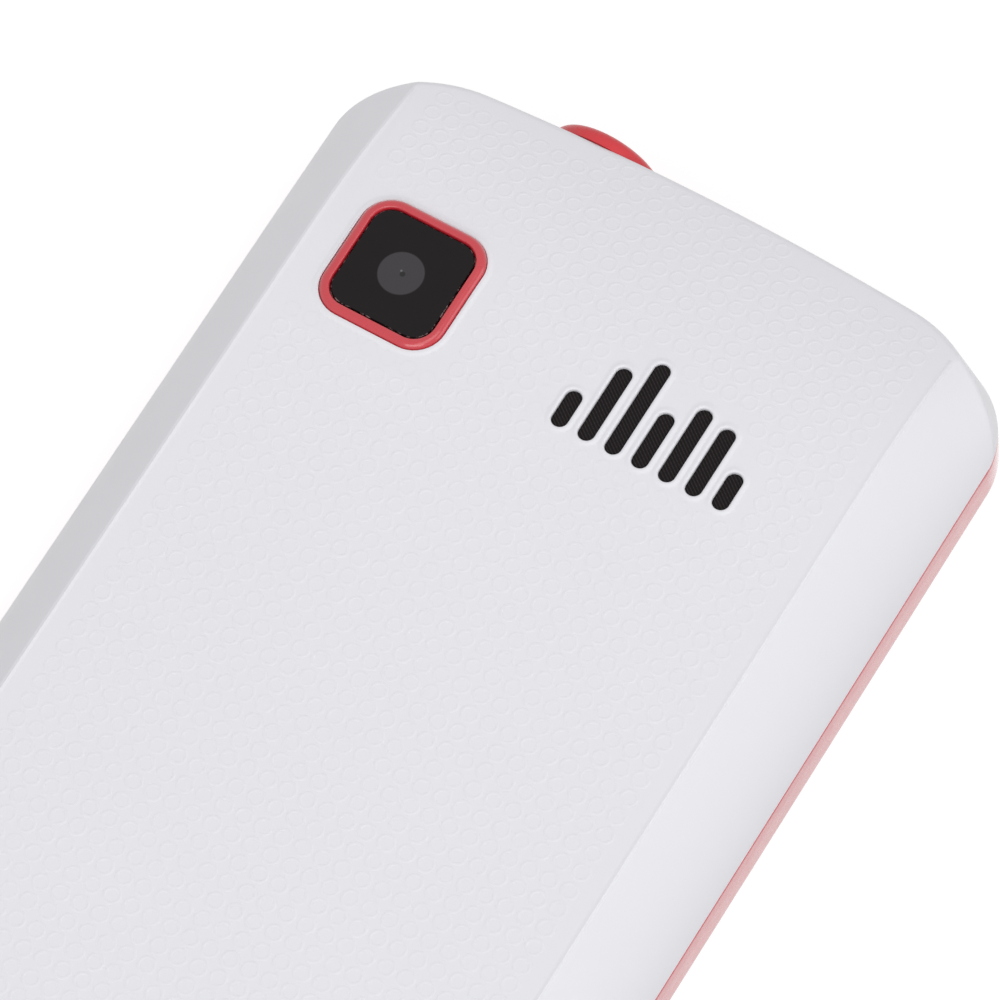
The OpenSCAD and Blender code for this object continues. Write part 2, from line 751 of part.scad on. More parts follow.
// Seat of the earpiece mesh, made smaller on all sides by a gap
module ear_block(gap, z0, z1) {
    grow = 2 * (ear_seat - gap);
    block(0, ear_y, ear_slot_w + grow, ear_slot_h + grow, ear_seat - gap, z0, z1);
}

module display_window() color(black) {
    block(0, window_y, window_w, window_l, window_r, z_window, z_window + window_t);
}

module display_module() color(steel) {
    block(0, window_y + display_up, display_w, display_l, 0.6, z_inner, z_inner + display_t);
}

module earpiece_mesh() color(dark) {
    ear_block(fit_gap / 2, z_inner - ear_seat_t, z_inner - ear_seat_t + mesh_t);
}

module earpiece_speaker() color(dark) {
    difference() {
        block(0, ear_y - frame_gap, ear_w, ear_l, ear_l / 3, z_inner, z_inner + ear_t);
        block(0, ear_y - frame_gap, 0.75 * ear_w, 0.55 * ear_l, ear_l / 6,
            z_inner - through, z_inner + mesh_t);
    }
}

// Keys

function number_keys() = [
    for (row = [0:3]) for (column = [0:2])
        [(1 - column) * column_pitch, number_y - row * row_pitch]
];

function function_keys() = [
    for (y = [soft_y, call_y]) for (side = [1, -1]) [side * function_x, y]
];

module key_hole(x, y, w, l, r) {
    block(x, y, w + 2 * key_gap, l + 2 * key_gap, r + key_gap, -through, z_inner + through);
}

// Bevelled cap of a key, from its face down to a given level
module key_cap(x, y, w, l, r, z1) {
    loft(
        [for (in = [key_bevel, 0.3 * key_bevel, 0, 0]) rounded(x, y, w - 2 * in, l - 2 * in, r - in)],
        [z_key, z_key + 0.3 * key_bevel, z_key + key_bevel, z1]
    );
}

module plate_key(place, w, l) color(key_white) {
    key_cap(place.x, place.y, w, l, key_r, z_inner + flange_t);
    block(place.x, place.y, w + 2 * flange_w, l + 2 * flange_w, key_r + flange_w,
        z_inner, z_inner + flange_t);
}

module number_key(index) {
    plate_key(number_keys()[index], number_w, key_h);
}

module function_key(index) {
    plate_key(function_keys()[index], function_w, key_h);
}

module key_1() number_key(0);
module key_2() number_key(1);
module key_3() number_key(2);
module key_4() number_key(3);
module key_5() number_key(4);
module key_6() number_key(5);
module key_7() number_key(6);
module key_8() number_key(7);
module key_9() number_key(8);
module key_star() number_key(9);
module key_0() number_key(10);
module key_hash() number_key(11);
module left_soft_key() function_key(0);
module right_soft_key() function_key(1);
module call_key() function_key(2);
module end_key() function_key(3);

module nav_ring() color(key_white) difference() {
    union() {
        key_cap(0, nav_y, nav_w, nav_w, nav_r, nav_back);
        block(0, nav_y, nav_w + 2 * nav_flange_w, nav_w + 2 * nav_flange_w, nav_r + nav_flange_w,
            z_inner + nav_lift, nav_back);
    }
    block(0, nav_y, ok_hole, ok_hole, ok_r + ok_gap, -through, nav_back + through);
}

// Ring under the navigation ring; round feet on both sides of it let it tip both ways
module nav_plunger() color(dark) {
    arm = (plunger_hole + plunger_w) / 4;
    difference() {
        block(0, nav_y, plunger_w, plunger_w, ok_r + plunger_rim, z_plunger, z_plunger + plunger_t);
        block(0, nav_y, plunger_hole, plunger_hole, ok_r + ok_gap, z_plunger - through, z_plunger + through);
    }
    for (side = [-1, 1]) {
        rod_y(0, nav_back + foot_gap + foot_r, foot_r,
            nav_y + side * arm - foot_l / 2, nav_y + side * arm + foot_l / 2);
        rod_x(nav_y, z_dome - foot_gap - foot_r, foot_r, side * arm - foot_l / 2, side * arm + foot_l / 2);
    }
}

module ok_key() color(key_white) {
    key_cap(0, nav_y, ok_w, ok_w, ok_r, z_dome - dome_h - key_travel - mat_clear);
}

// Outline of the mat and the dome sheet, made smaller on all sides by an inset
module mat_block(inset, z0, z1) {
    block(0, mat_y, mat_w - 2 * inset, mat_l - 2 * inset, mat_r - inset, z0, z1);
}

module keymat() color(dark) difference() {
    hole = plunger_w + 2 * plunger_gap;
    mat_block(0, z_mat, z_dome);
    mat_block(mat_rim, z_mat + mat_t, z_dome + through);
    block(0, nav_y, hole, hole, ok_r + plunger_rim, z_mat - through, z_dome + through);
}

module dome_sheet() color(steel) {
    mat_block(0, z_dome, z_board);
    for (p = concat(number_keys(), function_keys(), [[0, nav_y]]))
        translate([p.x, p.y, z_dome - dome_h]) cylinder(r1 = dome_r / 2, r2 = dome_r, h = dome_h);
}

// Board and what is soldered to it

module main_board() color(green) difference() {
    edge_prism(board_inset, z_board, z_board_top);
    for (p = screw_places) translate([p.x, p.y, z_board - through])
        cylinder(r = screw_hole_r + screw_gap, h = board_t + 2 * through);
    collar_room();
}

module shield_can() color(steel) {
    block(0, battery_y + can_up, can_w, can_l, 1, z_board_top, z_board_top + can_h);
}

module microphone() color(steel) {
    translate([0, mic_y, z_board - mic_h]) difference() {
        cylinder(r = mic_r, h = mic_h);
        translate([0, 0, -through]) cylinder(r = mic_port_r, h = through + mic_port_l);
    }
}

module usb_socket() color(steel) {
    z1 = z_board_top + usb_h;
    difference() {
        block(0, usb_y + usb_l / 2, usb_w, usb_l, 0.2, z_board_top, z1);
        box(-usb_w / 2 + usb_wall, usb_w / 2 - usb_wall, usb_y - through, usb_y + usb_l - usb_wall,
            z_board_top + usb_wall, z1 - usb_wall);
    }
    box(-usb_w / 4, usb_w / 4, usb_y + usb_tongue_in, usb_y + usb_l - usb_wall,
        z_board_top + usb_h / 2, z_board_top + usb_h / 2 + usb_tongue_t);
}

module headphone_jack() color(dark) difference() {
    body_y = y_bot + board_inset + arch(jack_x + jack_w / 2) + 2 * fit_gap;
    union() {
        box(jack_x - jack_w / 2, jack_x + jack_w / 2, body_y, jack_y + jack_depth + jack_back,
            z_board_top, z_board_top + jack_h);
        rod_y(jack_x, z_jack, jack_nose_r, jack_y, body_y + through);
    }
    rod_y(jack_x, z_jack, jack_d / 2, jack_y - through, jack_y + jack_depth);
}

// Frame

// Openings in the bottom end for the two sockets; the cover's one for the jack is open below
module socket_cuts(jack_floor) {
    r = jack_nose_r + fit_gap;
    arc = [for (i = [0:4 * round_steps]) let (a = 180 * i / (4 * round_steps))
        [jack_x + r * cos(a), z_jack + r * sin(a)]];
    below = jack_floor
        ? [for (i = [1:4 * round_steps - 1]) let (a = 180 + 180 * i / (4 * round_steps))
            [jack_x + r * cos(a), z_jack + r * sin(a)]]
        : [[jack_x - r, z_jack - r], [jack_x + r, z_jack - r]];
    translate([0, y_bot + band_wall + end_room, 0]) rotate([90, 0, 0])
        linear_extrude(band_wall + 2 * end_room) polygon(concat(arc, below));
    box(-usb_w / 2 - usb_gap, usb_w / 2 + usb_gap, y_bot - end_room, y_bot + band_wall + end_room,
        z_board_top - usb_gap, z_board_top + usb_h + usb_gap);
}

module mid_frame() color(red) difference() {
    union() {
        loft(
            [for (p = band_profile) inset_outline(p.x)],
            [for (p = band_profile) z_band + p.y * band_h]
        );
        edge_prism(groove_d, z_band, z_cover);
        edge_prism(tongue_inset, z_band, z_cover + tongue_h);
        torch_collar();
    }
    difference() {
        edge_prism(band_wall, z_band - through, body_t);
        rod_y(torch_x, z_torch, torch_r, y_top - band_wall - collar_in, y_top + end_room);
    }
    socket_cuts(true);
    rod_y(torch_x, z_torch, torch_lens_r + glass_gap, lens_y, y_top + end_room);
    rod_y(torch_x, z_torch, lamp_r + fit_gap, y_top - band_wall - end_room, y_top + end_room);
    for (share = rib_places) for (side = [-1, 1])
        translate([side * half_w, y_mid + share * half_l, z_cover + tongue_h])
            cube([2 * (band_wall + through), rib_l + 2 * fit_gap, 2 * tongue_h], center = true);
}

// Round collar that stands out of the top end and holds the torch lens
module torch_collar() {
    length = band_wall + collar_in + torch_proud;
    translate([torch_x, y_top + torch_proud - length, z_torch]) rotate([-90, 0, 0]) rotate_extrude()
        polygon(concat(
            [[0, 0], [torch_r, 0]],
            [for (i = [0:round_steps]) let (a = 90 * i / round_steps)
                [torch_r - torch_edge + torch_edge * cos(a), length - torch_edge + torch_edge * sin(a)]],
            [[0, length]]
        ));
}

module torch_lens() color([0.9, 0.9, 0.92]) {
    translate([torch_x, lens_y, z_torch]) rotate([-90, 0, 0]) rotate_extrude()
        polygon([[0, 0], [torch_lens_r, 0], [torch_lens_r, torch_lens_t - lens_dome],
            [0.6 * torch_lens_r, torch_lens_t - 0.3 * lens_dome], [0, torch_lens_t]]);
}

module torch_led() color([0.95, 0.93, 0.8]) {
    rod_y(torch_x, z_torch, lamp_r, y_top - band_wall - lamp_in, lens_y - lamp_drop);
}

// Rear chassis with the battery bay

module rear_chassis() color(dark) difference() {
    bay_edge = battery_gap + bay_wall;
    union() {
        edge_prism(chassis_inset, z_floor - floor_t, z_floor);
        difference() {
            edge_prism(chassis_inset, z_board_top + skirt_gap, z_floor);
            edge_prism(chassis_inset + skirt_wall, z_board_top - through, z_floor + through);
        }
        intersection() {
            cover_form(shell_wall + deck_gap - fit_gap);
            edge_prism(chassis_inset, z_floor - floor_t / 2, body_t);
            union() {
                box(-half_w, half_w, deck_y, y_top, z_floor - floor_t / 2, z_deck);
                box(-half_w, half_w, y_bot, y_bot + low_deck_l, z_floor - floor_t / 2, z_floor + low_deck_h);
            }
        }
        difference() {
            block(0, battery_y, battery_w + 2 * bay_edge, battery_l + 2 * bay_edge, battery_r,
                z_floor - floor_t / 2, z_floor + bay_h);
            block(0, battery_y, battery_w + 2 * battery_gap, battery_l + 2 * battery_gap,
                battery_r, z_floor, z_floor + bay_h + through);
        }
        box(-contact_block_w / 2, contact_block_w / 2, bay_y - contact_block_l, bay_y + bay_wall,
            z_floor - floor_t / 2, z_floor + bay_h);
    }
    block(camera_x, camera_y, camera_w + 2 * module_gap, camera_w + 2 * module_gap, module_gap,
        z_board, body_t);
    block(speaker_x, speaker_y, speaker_w + 2 * fit_gap, speaker_l + 2 * fit_gap, speaker_r, z_floor, body_t);
    for (i = [-1:1]) translate([i * contact_pitch, 0, 0])
        box(-contact_w / 2 - contact_gap, contact_w / 2 + contact_gap, contact_y, bay_y + bay_wall + through,
            z_contact, z_floor + bay_h + through);
    collar_room();
    box(jack_x - jack_w / 2 - fit_gap, jack_x + jack_w / 2 + fit_gap, y_bot,
        jack_y + jack_depth + jack_back + fit_gap, z_board, body_t);
    box(-usb_w / 2 - usb_gap, usb_w / 2 + usb_gap, y_bot, usb_y + usb_l + usb_gap,
        z_board, z_board_top + usb_h + fit_gap);
    box(motor_x - weight_l - 3 * weight_gap, motor_x + motor_l + fit_gap,
        motor_y - motor_r - weight_gap, motor_y + motor_r + weight_gap, z_floor, body_t);
    for (p = screw_places) translate([p.x, p.y, z_board]) {
        cylinder(r = screw_hole_r, h = body_t);
        translate([0, 0, z_floor - z_board]) cylinder(r = screw_head_r + fit_gap, h = body_t);
    }
}

// Room for the torch collar and the lamp behind it
module collar_room() {
    inner_y = y_top - band_wall - fit_gap;
    rod_y(torch_x, z_torch, torch_r + fit_gap, inner_y - collar_in, y_top + end_room);
    rod_y(torch_x, z_torch, lamp_r + fit_gap, inner_y - lamp_in, y_top);
}

module battery() color(steel) {
    block(0, battery_y, battery_w, battery_l, battery_r, z_floor, z_floor + battery_t);
}

// Bent spring strips that press against the battery's end
module battery_contacts() color(gold) {
    y1 = battery_y - battery_l / 2 - contact_gap;
    bend = contact_h / 2;
    slant = 0.6 * bend;
    for (i = [-1:1]) translate([i * contact_pitch - contact_w / 2, 0, z_contact]) rotate([90, 0, 90])
        linear_extrude(contact_w) polygon([
            [contact_y, 0], [y1 - slant, 0], [y1, bend], [y1 - slant, contact_h],
            [y1 - slant - contact_t, contact_h], [y1 - 1.2 * contact_t, bend],
            [y1 - slant - 0.5 * contact_t, contact_t], [contact_y, contact_t]
        ]);
}

// Folded sheet bracket over a card that slides in along one direction
module card_holder(x, y, w, l, card, mouth) {
    z1 = z_floor + card + 2 * holder_t;
    difference() {
        block(x, y, w, l, holder_t, z_floor, z1);
        box(x - w / 2 + holder_t, x + w / 2 - holder_t, y - l, y + l, z_floor + holder_t, z1 - holder_t);
        block(x, y + mouth * l / 3, 0.6 * w, 0.6 * l, 0.1 * l, z1 - 1.5 * holder_t, z1 + through);
    }
}

module sim_holder_1() color(steel) card_holder(sim_x, sim_1_y, sim_hold_w, sim_hold_l, sim_t, -1);
module sim_holder_2() color(steel) card_holder(sim_x, sim_2_y, sim_hold_w, sim_hold_l, sim_t, 1);
module memory_card_holder() color(steel) card_holder(card_x, card_y, card_hold_w, card_hold_l, card_t, -1);

// Sound and camera

module loudspeaker() color(dark) difference() {
    z1 = z_floor + speaker_h;
    block(speaker_x, speaker_y, speaker_w, speaker_l, speaker_r, z_floor, z1);
    block(speaker_x, speaker_y, speaker_w - 2 * speaker_rim, speaker_l - 2 * speaker_rim, speaker_r,
        z1 - diaphragm_down, body_t);
}

module speaker_gasket() color(black) {
    z0 = z_floor + speaker_h;
    z1 = body_t - shell_wall - gasket_gap;
    difference() {
        block(speaker_x, speaker_y, speaker_w, speaker_l, speaker_r, z0, z1);
        block(speaker_x, speaker_y, speaker_w - 2 * gasket_wall, speaker_l - 2 * gasket_wall,
            speaker_r - gasket_wall / 2, z0 - through, z1 + through);
    }
}

module camera_module() color(dark) {
    block(camera_x, camera_y, camera_w, camera_w, module_gap, z_board_top, z_board_top + camera_base_h);
}

module camera_lens() color(black) {
    z0 = z_board_top + camera_base_h;
    translate([camera_x, camera_y, 0]) difference() {
        translate([0, 0, z0]) cylinder(d = barrel_d, h = z_glass - barrel_drop - z0);
        translate([0, 0, z_glass - barrel_drop - barrel_hollow]) cylinder(d = aperture_d, h = through);
    }
}

module camera_bezel() color(red) difference() {
    top = body_t + bezel_proud;
    opening = bezel_w - 2 * bezel_rim;
    loft(
        [for (in = [0, 0, 0.3 * bezel_round, bezel_round])
            rounded(camera_x, camera_y, bezel_w - 2 * in, bezel_w - 2 * in, bezel_r - in)],
        [z_deck, top - bezel_round, top - 0.3 * bezel_round, top]
    );
    block(camera_x, camera_y, opening, opening, bezel_r - bezel_rim, z_glass, top + through);
    translate([camera_x, camera_y, z_deck - through]) cylinder(d = barrel_d + 2 * barrel_gap, h = z_glass);
}

module camera_window() color(black) {
    side = bezel_w - 2 * (bezel_rim + glass_gap);
    block(camera_x, camera_y, side, side, bezel_r - bezel_rim, z_glass, z_glass + glass_t);
}

// Vibration motor

module vibration_motor() color(steel) difference() {
    union() {
        rod_x(motor_y, z_motor, motor_r, motor_x, motor_x + motor_l);
        box(motor_x + motor_l / 8, motor_x + motor_l * 7 / 8, motor_y - motor_r, motor_y + motor_r,
            z_floor, z_motor);
    }
    rod_x(motor_y, z_motor, shaft_r + shaft_gap, motor_x - through, motor_x + motor_l / 2);
}

module motor_weight() color(steel) {
    x0 = motor_x - weight_l - weight_gap;
    rod_x(motor_y, z_motor, shaft_r, x0, motor_x + motor_l / 2 - shaft_gap);
    difference() {
        rod_x(motor_y, z_motor, motor_r + motor_lift - weight_gap / 2, x0, x0 + weight_l);
        box(x0 - through, x0 + weight_l + through, motor_y - 2 * motor_r, motor_y + 2 * motor_r,
            z_motor + motor_r / 3, z_motor + 2 * motor_r);
    }
}

// Stamped strip on the lower deck
module antenna() color(gold) {
    z0 = z_floor + low_deck_h;
    y1 = y_bot + low_deck_l - fit_gap;
    x0 = motor_x + motor_l + antenna_step;
    box(x0, x0 + 3 * antenna_step + antenna_strip, y1 - antenna_strip, y1, z0, z0 + antenna_t);
    for (i = [0:3]) translate([x0 + i * antenna_step, 0, 0])
        box(0, antenna_strip, y1 - antenna_l, y1, z0, z0 + antenna_t);
}

module screws() color(steel) for (p = screw_places) translate([p.x, p.y, 0]) {
    translate([0, 0, z_floor]) cylinder(r = screw_head_r, h = screw_head_h);
    translate([0, 0, z_tip]) cylinder(r = screw_r, h = z_floor - z_tip);
}

// Rear cover

module slot_cuts() {
    for (i = [0:slot_count - 1]) {
        x = slots_x + (i - (slot_count - 1) / 2) * slot_pitch;
        y = slots_y + slot_lengths[i] / 2;
        block(x, y, slot_w, slot_lengths[i], 0.49 * slot_w, z_deck, body_t + through);
    }
}

module mesh_block(grow, z0, z1) {
    block(slots_x, slots_y + slots_l / 2, slots_w + 2 * mesh_margin + 2 * grow,
        slots_l + 2 * mesh_margin + 2 * grow, 1, z0, z1);
}

module rear_cover() color(white) difference() {
    cover_form(0);
    difference() {
        cover_form(shell_wall);
        for (share = rib_places) for (side = [-1, 1])
            translate([side * (half_w - band_wall / 2), y_mid + share * half_l, z_cover + rib_h / 2])
                cube([band_wall, rib_l, rib_h], center = true);
    }
    mesh_block(glass_gap, z_deck, body_t - slot_wall);
    slot_cuts();
    block(camera_x, camera_y, bezel_w + 2 * fit_gap, bezel_w + 2 * fit_gap, bezel_r + fit_gap,
        z_deck - through, body_t + through);
    rod_y(torch_x, z_torch, torch_r + fit_gap, y_top - 2 * end_room, y_top + end_room);
    socket_cuts(false);
    translate([-half_w / 2, y_bot + arch(half_w / 2), z_cover])
        cube([notch_w, 2 * shell_wall, 2 * notch_h], center = true);
}

module speaker_mesh() color(black) {
    mesh_block(0, body_t - slot_wall - mesh_t, body_t - slot_wall);
}

front_housing();
display_window();
display_module();
earpiece_mesh();
earpiece_speaker();
keymat();
dome_sheet();
main_board();
shield_can();
microphone();
usb_socket();
headphone_jack();
mid_frame();
torch_lens();
torch_led();
rear_chassis();
battery();
battery_contacts();
sim_holder_1();
sim_holder_2();
memory_card_holder();
loudspeaker();
speaker_gasket();
camera_module();
camera_lens();
camera_bezel();
camera_window();
vibration_motor();
motor_weight();
antenna();
screws();
rear_cover();
speaker_mesh();
key_1();
key_2();
key_3();
key_4();
key_5();
key_6();
key_7();
key_8();
key_9();
key_star();
key_0();
key_hash();
left_soft_key();
right_soft_key();
call_key();
end_key();
ok_key();
nav_plunger();
nav_ring();
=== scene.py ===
# %% [markdown]
# # A feature phone, dressed around its CAD frame
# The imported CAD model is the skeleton: it says where every piece is and what moves. This lesson
# loads it, models the shells and trim finely enough for a close look, and gives every piece a finish.
# All modelling sizes are in millimetres and become metres where a point is written.

# %% Load the frame
import json
from math import acos, atan2, cos, hypot, pi, radians, sin, sqrt, tan

import bmesh
import bpy
from mathutils import Matrix, Vector


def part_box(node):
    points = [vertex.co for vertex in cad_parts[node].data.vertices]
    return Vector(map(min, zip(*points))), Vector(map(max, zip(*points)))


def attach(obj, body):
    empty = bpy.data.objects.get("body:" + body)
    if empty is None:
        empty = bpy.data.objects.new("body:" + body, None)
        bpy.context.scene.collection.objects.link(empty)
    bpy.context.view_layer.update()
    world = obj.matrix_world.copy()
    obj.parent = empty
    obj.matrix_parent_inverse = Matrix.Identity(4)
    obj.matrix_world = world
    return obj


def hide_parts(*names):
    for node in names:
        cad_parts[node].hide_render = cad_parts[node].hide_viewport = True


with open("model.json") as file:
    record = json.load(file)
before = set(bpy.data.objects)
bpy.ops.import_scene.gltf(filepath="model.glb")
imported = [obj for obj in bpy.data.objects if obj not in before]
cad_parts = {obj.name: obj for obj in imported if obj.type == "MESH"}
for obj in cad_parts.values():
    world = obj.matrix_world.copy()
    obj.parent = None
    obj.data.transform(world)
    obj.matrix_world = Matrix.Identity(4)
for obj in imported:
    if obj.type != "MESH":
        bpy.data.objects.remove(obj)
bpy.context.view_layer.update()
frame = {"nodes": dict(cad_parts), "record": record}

MM = 0.001

# %% [markdown]
# ## Camera
# The picture is taken from far away with a long lens, from above the lower right of the back. The
# camera's three axes and its place were solved from edges whose real places are known, so they are
# written as numbers. A long lens keeps the sides of the phone nearly parallel.

# %% Camera
camera_axes = (
    (0.854491, 0.515479, -0.064233),
    (-0.444967, 0.790133, 0.421538),
    (0.268046, -0.331619, 0.904533),
)
camera_place = Vector((148.6244, -150.0969, 512.4872)) * MM
bpy.ops.object.camera_add()
camera = bpy.context.object
camera.matrix_world = Matrix.Translation(camera_place) @ Matrix(camera_axes).transposed().to_4x4()
camera.data.sensor_width = 36
camera.data.lens = 300.33
camera.data.clip_end = 10
bpy.context.scene.camera = camera
print("camera at", [round(c, 3) for c in camera.location])

# %% [markdown]
# ## Nodes written as expressions
# A finish is a small program. This class wraps one socket, so that sums and products of sockets read
# as ordinary Python and each adds its Math node. Every other node comes from one method.


# %% Nodes
class Wire:
    """A socket in a node tree; arithmetic on it adds Math nodes."""

    def __init__(self, tree, socket=None):
        self.tree = tree
        self.socket = socket

    def node(self, kind, settings=None, links=None, out=0):
        """Adds a node with its settings and inputs, and gives one of its outputs."""
        made = self.tree.nodes.new("ShaderNode" + kind)
        for name, value in (settings or {}).items():
            setattr(made, name, value)
        for name, value in (links or {}).items():
            self.plug(made.inputs[name], value)
        return Wire(self.tree, made.outputs[out])

    def plug(self, target, value):
        """Links a wire to an input, or sets the input to a plain value."""
        if isinstance(value, Wire):
            self.tree.links.new(value.socket, target)
        else:
            target.default_value = value

    def math(self, operation, *values):
        """Adds a Math node."""
        return self.node("Math", {"operation": operation}, dict(enumerate(values)))

    def __add__(self, other):
        return self.math("ADD", self, other)

    def __mul__(self, other):
        return self.math("MULTIPLY", self, other)

    def __sub__(self, other):
        return self.math("SUBTRACT", self, other)

    def __rsub__(self, other):
        return self.math("SUBTRACT", other, self)

    __radd__ = __add__
    __rmul__ = __mul__

    def ramp(self, low, high):
        """0 below low, 1 above high, smooth between."""
        settings = {"interpolation_type": "SMOOTHSTEP"}
        links = {"Value": self, "From Min": low, "From Max": high}
        return self.node("MapRange", settings, links)

    def mix(self, dark, light):
        """Colour that goes from dark to light as this value goes from 0 to 1."""
        links = {0: self, 6: (*dark, 1) if not isinstance(dark, Wire) else dark}
        links[7] = (*light, 1) if not isinstance(light, Wire) else light
        return self.node("Mix", {"data_type": "RGBA"}, links, out=2)


class Finish:
    """A material with one Principled shader and its object coordinates in millimetres."""

    def __init__(self, name, **plain):
        self.material = bpy.data.materials.new(name)
        self.material.use_nodes = True
        self.tree = self.material.node_tree
        self.shader = self.tree.nodes["Principled BSDF"]
        self.wire = Wire(self.tree)
        place = self.wire.node("TexCoord", out=3)
        self.place = self.wire.node("VectorMath", {"operation": "SCALE"}, {0: place, "Scale": 1000.0})
        split = self.wire.node("SeparateXYZ", None, {0: self.place})
        self.x, self.y, self.z = (Wire(self.tree, s) for s in split.socket.node.outputs)
        self.set(**plain)

    def set(self, **inputs):
        """Sets inputs of the shader by their names."""
        for name, value in inputs.items():
            label = name.replace("_", " ").title().replace("Ior", "IOR")
            if isinstance(value, tuple) and len(value) == 3 and "Normal" not in label:
                value = (*value, 1)
            self.wire.plug(self.shader.inputs[label], value)
        return self

    def noise(self, scale, detail=2.0):
        """Noise of about 0 to 1 with so many cells per millimetre."""
        return self.wire.node("TexNoise", None, {"Vector": self.place, "Scale": scale, "Detail": detail})

    def bump(self, height, depth, strength=1.0):
        """Bump of a height from 0 to 1 that is depth millimetres deep."""
        links = {"Height": height, "Distance": depth * MM, "Strength": strength}
        return self.set(normal=self.wire.node("Bump", None, links))

    def wave(self, direction, scale):
        """Sine stripes across a direction, so many per millimetre."""
        links = {0: self.place, 1: direction}
        dot = self.wire.node("VectorMath", {"operation": "DOT_PRODUCT"}, links, out=1)
        return self.wire.math("SINE", dot * (2 * pi * scale)) * 0.5 + 0.5

    def from_line(self, x, y=None, z=None):
        """Distance from the line along Z through x and y, or along Y through x and z."""
        links, foot = ({"Y": self.y}, (x, y, 0)) if z is None else ({"Z": self.z}, (x, 0, z))
        flat = self.wire.node("CombineXYZ", None, {"X": self.x, **links})
        return self.wire.node("VectorMath", {"operation": "DISTANCE"}, {0: flat, 1: foot}, out=1)


print("node helpers ready")

# %% [markdown]
# ## Room and light
# A white sweep under and around the phone, a broad dim sky, a large soft lamp in front, a weaker one
# above and a low one on the right that the crease of the cover mirrors.
# To the camera, to mirrors and to clear pieces the surroundings are plain white, while the lamps
# alone decide how bright the phone is. The floor still takes the phone's shadow.

# %% Room
def white_room(tree, light_level):
    """World shader: white to the camera and to mirrors, a dim sky for everything else."""
    wire = Wire(tree)
    rays = tree.nodes.new("ShaderNodeLightPath").outputs
    seen = wire.math("MAXIMUM", Wire(tree, rays["Is Camera Ray"]), Wire(tree, rays["Is Glossy Ray"]))
    seen = wire.math("MAXIMUM", seen, Wire(tree, rays["Is Transmission Ray"]))
    return light_level + seen * (1 - light_level)


scene = bpy.context.scene
scene.view_settings.view_transform = "Standard"
sky = bpy.data.worlds.new("studio")
sky.use_nodes = True
scene.world = sky
sky_level = 0.62
sky_light = white_room(sky.node_tree, sky_level)
sky_light.plug(sky.node_tree.nodes["Background"].inputs["Strength"], sky_light)
sky.node_tree.nodes["Background"].inputs["Color"].default_value = (1, 1, 1, 1)

floor_size, floor_z = 6, -0.00005
bpy.ops.mesh.primitive_plane_add(size=floor_size, location=(0, 0, floor_z))
floor = bpy.context.object
floor.name = "floor"
floor_paint = bpy.data.materials.new("floor_paper")
floor_paint.use_nodes = True
floor_tree = floor_paint.node_tree
floor_shader = floor_tree.nodes["Principled BSDF"]
floor_grey, floor_level = 0.42, 0.72
floor_shader.inputs["Base Color"].default_value = (floor_grey, floor_grey, floor_grey, 1)
floor_shader.inputs["Roughness"].default_value = 0.9
floor_shader.inputs["Specular IOR Level"].default_value = 0.0
floor_shader.inputs["Emission Color"].default_value = (1, 1, 1, 1)
floor_glow = white_room(floor_tree, 0.0) * floor_level
floor_glow.plug(floor_shader.inputs["Emission Strength"], floor_glow)
floor.data.materials.append(floor_paint)


lamp_aim, lamp_size = Vector((0, 0.02, 0)), (0.8, 0.6)


def soft_lamp(name, place, watts):
    """Rectangular lamp that looks at the phone."""
    bpy.ops.object.light_add(type="AREA", location=place)
    lamp = bpy.context.object
    lamp.name = name
    lamp.data.shape = "RECTANGLE"
    lamp.data.size, lamp.data.size_y = lamp_size
    lamp.data.energy = watts
    lamp.rotation_euler = (lamp_aim - Vector(place)).to_track_quat("-Z", "Y").to_euler()


soft_lamp("key_softbox", (0.338, -0.704, 0.799), 3.5)
soft_lamp("top_softbox", (0.386, 0.020, 1.062), 1.9)
soft_lamp("edge_softbox", (1.026, 0.393, 0.292), 1.55)
print("room ready")

# %% [markdown]
# ## Modelling helpers
# Most pieces of a phone are a stack of outlines: a ring of points is drawn, extruded, moved to the
# next outline, and so on, and the ends are closed. Each point keeps its number in the ring, so that
# after an extrude the new points know where they belong.


# %% Helpers
def deselect_all():
    """Leaves edit mode and empties the selection."""
    if bpy.context.mode != "OBJECT":
        bpy.ops.object.mode_set(mode="OBJECT")
    bpy.ops.object.select_all(action="DESELECT")


def work_on(piece):
    """Makes one piece the selected and active one."""
    deselect_all()
    piece.select_set(True)
    bpy.context.view_layer.objects.active = piece


def place_ring(piece, ring):
    """Moves the selected points onto a ring of places in millimetres."""
    mesh = bmesh.from_edit_mesh(piece.data)
    order = mesh.verts.layers.int["order"]
    for point in mesh.verts:
        if point.select:
            point.co = Vector(ring[point[order]]) * MM
    bmesh.update_edit_mesh(piece.data)


def loft(name, rings, loop=False):
    """Solid through rings of equally many points; closed by caps, or as a loop back to its start."""
    deselect_all()
    bpy.ops.mesh.primitive_circle_add(vertices=len(rings[0]), radius=MM)
    piece = bpy.context.object
    piece.name = piece.data.name = name
    bpy.ops.object.mode_set(mode="EDIT")
    mesh = bmesh.from_edit_mesh(piece.data)
    order = mesh.verts.layers.int.new("order")
    for number, point in enumerate(mesh.verts):
        point[order] = number
    place_ring(piece, rings[0])
    for ring in rings[1:]:
        bpy.ops.mesh.extrude_edges_move()
        place_ring(piece, ring)
    if loop:
        bpy.ops.mesh.select_all(action="DESELECT")
        bpy.ops.mesh.select_non_manifold()
        bpy.ops.mesh.bridge_edge_loops()
    else:
        bpy.ops.mesh.edge_face_add()
        bpy.ops.mesh.select_all(action="DESELECT")
        bpy.ops.mesh.select_non_manifold()
        bpy.ops.mesh.edge_face_add()
    bpy.ops.mesh.select_all(action="SELECT")
    bpy.ops.mesh.normals_make_consistent(inside=False)
    bpy.ops.object.mode_set(mode="OBJECT")
    return piece


